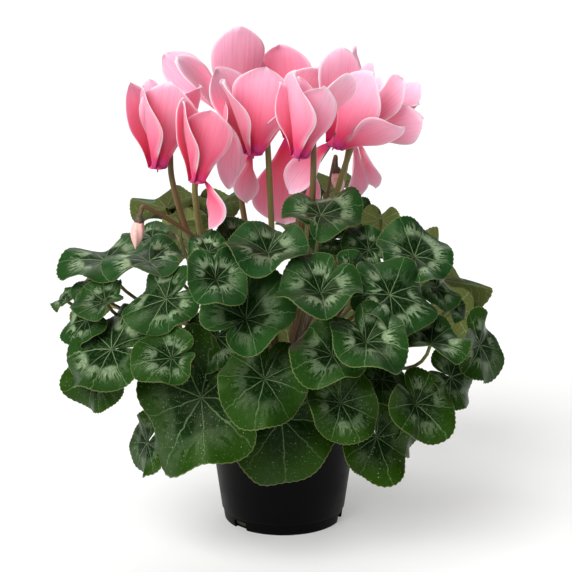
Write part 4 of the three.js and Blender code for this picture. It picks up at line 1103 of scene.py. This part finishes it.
class MakeSoil(bpy.types.Operator):
    """Makes the peat and the tuber half sunk in it"""

    bl_idname = "cyclamen.make_soil"
    bl_label = "Peat and tuber"

    def execute(self, context):
        look = context.scene.cyclamen_pot
        foot, top, steps = POT["floor"] + GAP, SOIL["top"], SOIL["steps"]
        # The solid pot has flat sides, and the peat stays inside them.
        foot_radius, radius = (
            (pot_radius(z) - POT["wall"]) * math.cos(math.pi / POT["solid_sides"]) - GAP for z in (foot, top)
        )

        def crumbs(ring):
            """Peat crumbs 2 to 6 mm across, on the top only."""
            rise = 1.1 * bumps(ring, 2.2) + 1.2 * bumps(ring, 6)
            return ring + np.where(ring[:, 2:] > top - 0.5, rise, 0) * UP

        def corky(ring):
            """The tuber's corky skin: low bumps about 8 mm across."""
            return ring * (1 + 1.2 * bumps(ring, 8) / np.linalg.norm(ring, axis=1, keepdims=True))

        shares = np.linspace(1, 0, steps + 1)
        profile = [(0, foot), (foot_radius - POT["foot_step"], foot)]
        profile += zip(radius * shares, top + SOIL["dome"] * (1 - shares**4))
        skin = Skin()
        skin.turned(profile, 120, relief=crumbs)
        # Moist milled peat: dull, dark and crumbly, and paler where it dries.
        grains = {"size_mm": 2.2, "roughness": 0.95, "depth_mm": 1.2}
        peat = grained("peat_moist", look.peat_dark, look.peat_light, **grains)
        skin.build("peat", [peat], "soil")
        angles = np.radians(np.linspace(-90, 90, 33))[1:-1]
        half = TUBER["half_height"]
        skin = Skin()
        profile = [(0, -half), *zip(TUBER["radius"] * np.cos(angles), half * np.sin(angles)), (0, half)]
        skin.turned(profile, 72, at=UP * TUBER["centre"], relief=corky)
        # The tuber's natural cork: dry, matt and brown, in scaly patches.
        scales = {"size_mm": 5, "roughness": 0.9, "depth_mm": 0.8}
        cork = grained("tuber_cork", linear(0x3A291C), linear(0x70553B), **scales)
        skin.build("tuber_skin", [cork], "tuber")
        return {"FINISHED"}


class MakeLeaves(bpy.types.Operator):
    """Makes every leaf with its petiole, in the pairs that share a trunk"""

    bl_idname = "cyclamen.make_leaves"
    bl_label = "Leaves"

    def execute(self, context):
        look = context.scene.cyclamen_leaves
        materials = [leaf_skin(look), leaf_skin(look, underside=True)]
        # Petioles: smooth and fleshy, brown at the tuber and olive green by the blade.
        materials.append(stem_skin("petiole_skin", 0x4A3820, 0x676A30, 0.45))
        for node, (start, leaves) in stem_plan()[1].items():
            skin = Skin()
            add_stub(skin, start, 2)
            for leaf in leaves:
                add_leaf(skin, leaf, look)
            skin.build("green_" + node, materials, node)
        return {"FINISHED"}


class MakeFlowers(bpy.types.Operator):
    """Makes the flowers: stalks, calyces, tubes and petals"""

    bl_idname = "cyclamen.make_flowers"
    bl_label = "Flowers"

    def execute(self, context):
        look = context.scene.cyclamen_flowers
        petals = [petal_tissue(look)]
        # The stigma: moist and purplish, with a fine grain.
        grains = {"size_mm": 1, "roughness": 0.6, "depth_mm": 0.1}
        petals.append(grained("stigma_tissue", linear(0x7A1050), linear(0xC24A86), **grains))
        # Stalks: smooth and fleshy, brown turning olive. Sepals: the same skin, duller and browner.
        stems = [stem_skin("stalk_skin", 0x5F3D24, 0x6E6630, 0.42)]
        stems.append(stem_skin("sepal_skin", 0x5A4A34, 0x55402F, 0.5))
        stalks = stem_plan()[0]
        rim = lambda k, r, a: (r * (1 + (0.07 if 2 < k < 7 else 0) * np.cos(5 * a)), 0)
        radii = (STALK["radius"] * 1.08, STALK["radius"] * 0.88)
        for number, flower in enumerate(FLOWERS):
            name = "flower_" + flower["name"]
            turn, mouth = flower_frame(flower)
            calyx = (turn, mouth, CALYX["radius"], TUBE["length"] + GAP)
            make_stalk(name, stems, stalks[name], radii, 14, number * GOLDEN % 1, calyx)
            skin = Skin()
            skin.turned(TUBE["profile"], 40, turn, mouth, rim)
            # The tube reads the petals' colours by its share, which stays in the eye.
            maps = skin.maps[-1]
            maps[:, 2] = np.interp(maps[:, 2], (0, 0.5, 1), (0, 0.05, 0.3))
            maps[:, 0] = 0.2
            skin.turned(TUBE["pistil"], 12, turn, mouth, slot=1)
            for i, offset in enumerate(PETAL["spread"]):
                shape = flower["petals"].get(i, PETAL["upright"])
                seed = (number * 5 + i) * GOLDEN % 1
                tone = TONES.get(flower["name"], 0)
                add_petal(skin, flower, flower["front"] + offset, shape, look, seed, tone)
            skin.build(name + "_corolla", petals, name + "_petals")
        return {"FINISHED"}


class MakeBuds(bpy.types.Operator):
    """Makes the nodding buds"""

    bl_idname = "cyclamen.make_buds"
    bl_label = "Buds"

    def execute(self, context):
        stalks = stem_plan()[0]
        # Furled petals: pale salmon with a soft bloom. A bud's stalk stays brown, and its sepals are greyer.
        grains = {"size_mm": 2.5, "roughness": 0.55, "depth_mm": 0.15}
        furled = grained("bud_petal_tissue", linear(0xE9A9A6), linear(0xF3C9BD), **grains)
        stems = [stem_skin("bud_stalk_skin", 0x70482C, 0x5E4A30, 0.42)]
        stems.append(stem_skin("bud_sepal_skin", 0x5A4A34, 0x4A4436, 0.5))

        def furl(k, reach, angles):
            """Five petals furled in a spiral."""
            return reach * (1 + 0.09 * np.cos(5 * angles + 0.22 * k)), 0

        for bud in BUDS:
            name = "bud_" + bud["name"]
            calyx, tip = np.array(bud["calyx"], float), np.array(bud["tip"], float)
            length = np.linalg.norm(calyx - tip) - 2
            turn = turn_up_to(unit(calyx - tip))
            radii = (BUD_STALK["radius"] * 1.1, BUD_STALK["radius"] * 0.9)
            make_stalk(name, stems, stalks[name], radii, 12, 0.5, (turn, tip, BUD["calyx_radius"], length))
            shares = np.linspace(0, 1, 24)[1:]
            radii = BUD["radius"] * smooth_values(shares, BUD["shares"], BUD["widths"])
            profile = [(0, 0), *zip(radii, shares * (length - GAP)), (0, length - GAP)]
            skin = Skin()
            skin.turned(profile, 40, turn, tip, furl)
            skin.build(name + "_furled", [furled], name + "_petals")
        return {"FINISHED"}


class MakeStage(bpy.types.Operator):
    """Makes the pale floor, the soft light and the camera"""

    bl_idname = "cyclamen.make_stage"
    bl_label = "Stage"

    def execute(self, context):
        scene = context.scene
        look = scene.cyclamen_stage
        # Matt uncoated paper: no gloss, and lit enough to stay white under a soft shadow.
        material, add = new_material("floor_paper_matte")
        paper = {"Base Color": look.floor_colour, "Roughness": 0.9, "Specular IOR Level": 0.1}
        lit = {"Emission Color": look.floor_colour, "Emission Strength": look.glow}
        add("OutputMaterial", (add("BsdfPrincipled", {**paper, **lit}),))
        bpy.ops.mesh.primitive_plane_add(size=60)
        floor = context.object
        floor.name = "floor"
        floor.data.materials.append(material)
        floor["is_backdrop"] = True
        scene.world = bpy.data.worlds.new("studio")
        scene.world.use_nodes = True
        sky = scene.world.node_tree.nodes["Background"]
        sky.inputs["Color"].default_value = (1, 1, 1, 1)
        sky.inputs["Strength"].default_value = look.sky
        for name, strength, angle, turn in (
            ("soft_key", look.key, 48, (50, -10, -30)),
            ("soft_back", look.back, 60, (-38, 10, 15)),
        ):
            lamp = bpy.data.lights.new(name, "SUN")
            lamp.energy = strength
            lamp.angle = math.radians(angle)
            piece = bpy.data.objects.new(name, lamp)
            piece.rotation_euler = [math.radians(part) for part in turn]
            scene.collection.objects.link(piece)
        camera = bpy.data.objects.new("camera", bpy.data.cameras.new("camera"))
        camera.data.sensor_width = 36
        camera.data.lens = look.lens
        camera.location = look.camera_at
        camera.rotation_euler = (math.pi / 2 - look.camera_pitch, 0, 0)
        scene.collection.objects.link(camera)
        scene.camera = camera
        scene.view_settings.view_transform = "Standard"
        return {"FINISHED"}


OPERATORS = (MakeStage, MakePot, MakeSoil, MakeLeaves, MakeFlowers, MakeBuds)
GROUPS = {
    "cyclamen_pot": CyclamenPot,
    "cyclamen_leaves": CyclamenLeaves,
    "cyclamen_flowers": CyclamenFlowers,
    "cyclamen_stage": CyclamenStage,
}


class CyclamenPanel(bpy.types.Panel):
    """Lists the makers of the cyclamen's pieces"""

    bl_idname = "VIEW3D_PT_cyclamen"
    bl_label = "Potted Cyclamen"
    bl_space_type = "VIEW_3D"
    bl_region_type = "UI"
    bl_category = "Cyclamen"

    def draw(self, context):
        for group, kind in GROUPS.items():
            box = self.layout.box()
            for name in kind.__annotations__:
                box.prop(getattr(context.scene, group), name)
        for operator in OPERATORS:
            self.layout.operator(operator.bl_idname)


CLASSES = (*GROUPS.values(), *OPERATORS, CyclamenPanel)


def register():
    for kind in CLASSES:
        bpy.utils.register_class(kind)
    for name, kind in GROUPS.items():
        setattr(bpy.types.Scene, name, PointerProperty(type=kind))


def unregister():
    for name in GROUPS:
        delattr(bpy.types.Scene, name)
    for kind in reversed(CLASSES):
        bpy.utils.unregister_class(kind)


def main():
    register()
    for operator in OPERATORS:
        group, name = operator.bl_idname.split(".")
        getattr(getattr(bpy.ops, group), name)()
    boxes = {"cad": CAD_BOX, "visual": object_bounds()}
    plain = {k: [[float(v) for v in corner] for corner in box] for k, box in boxes.items()}


if __name__ == "__main__":
    main()
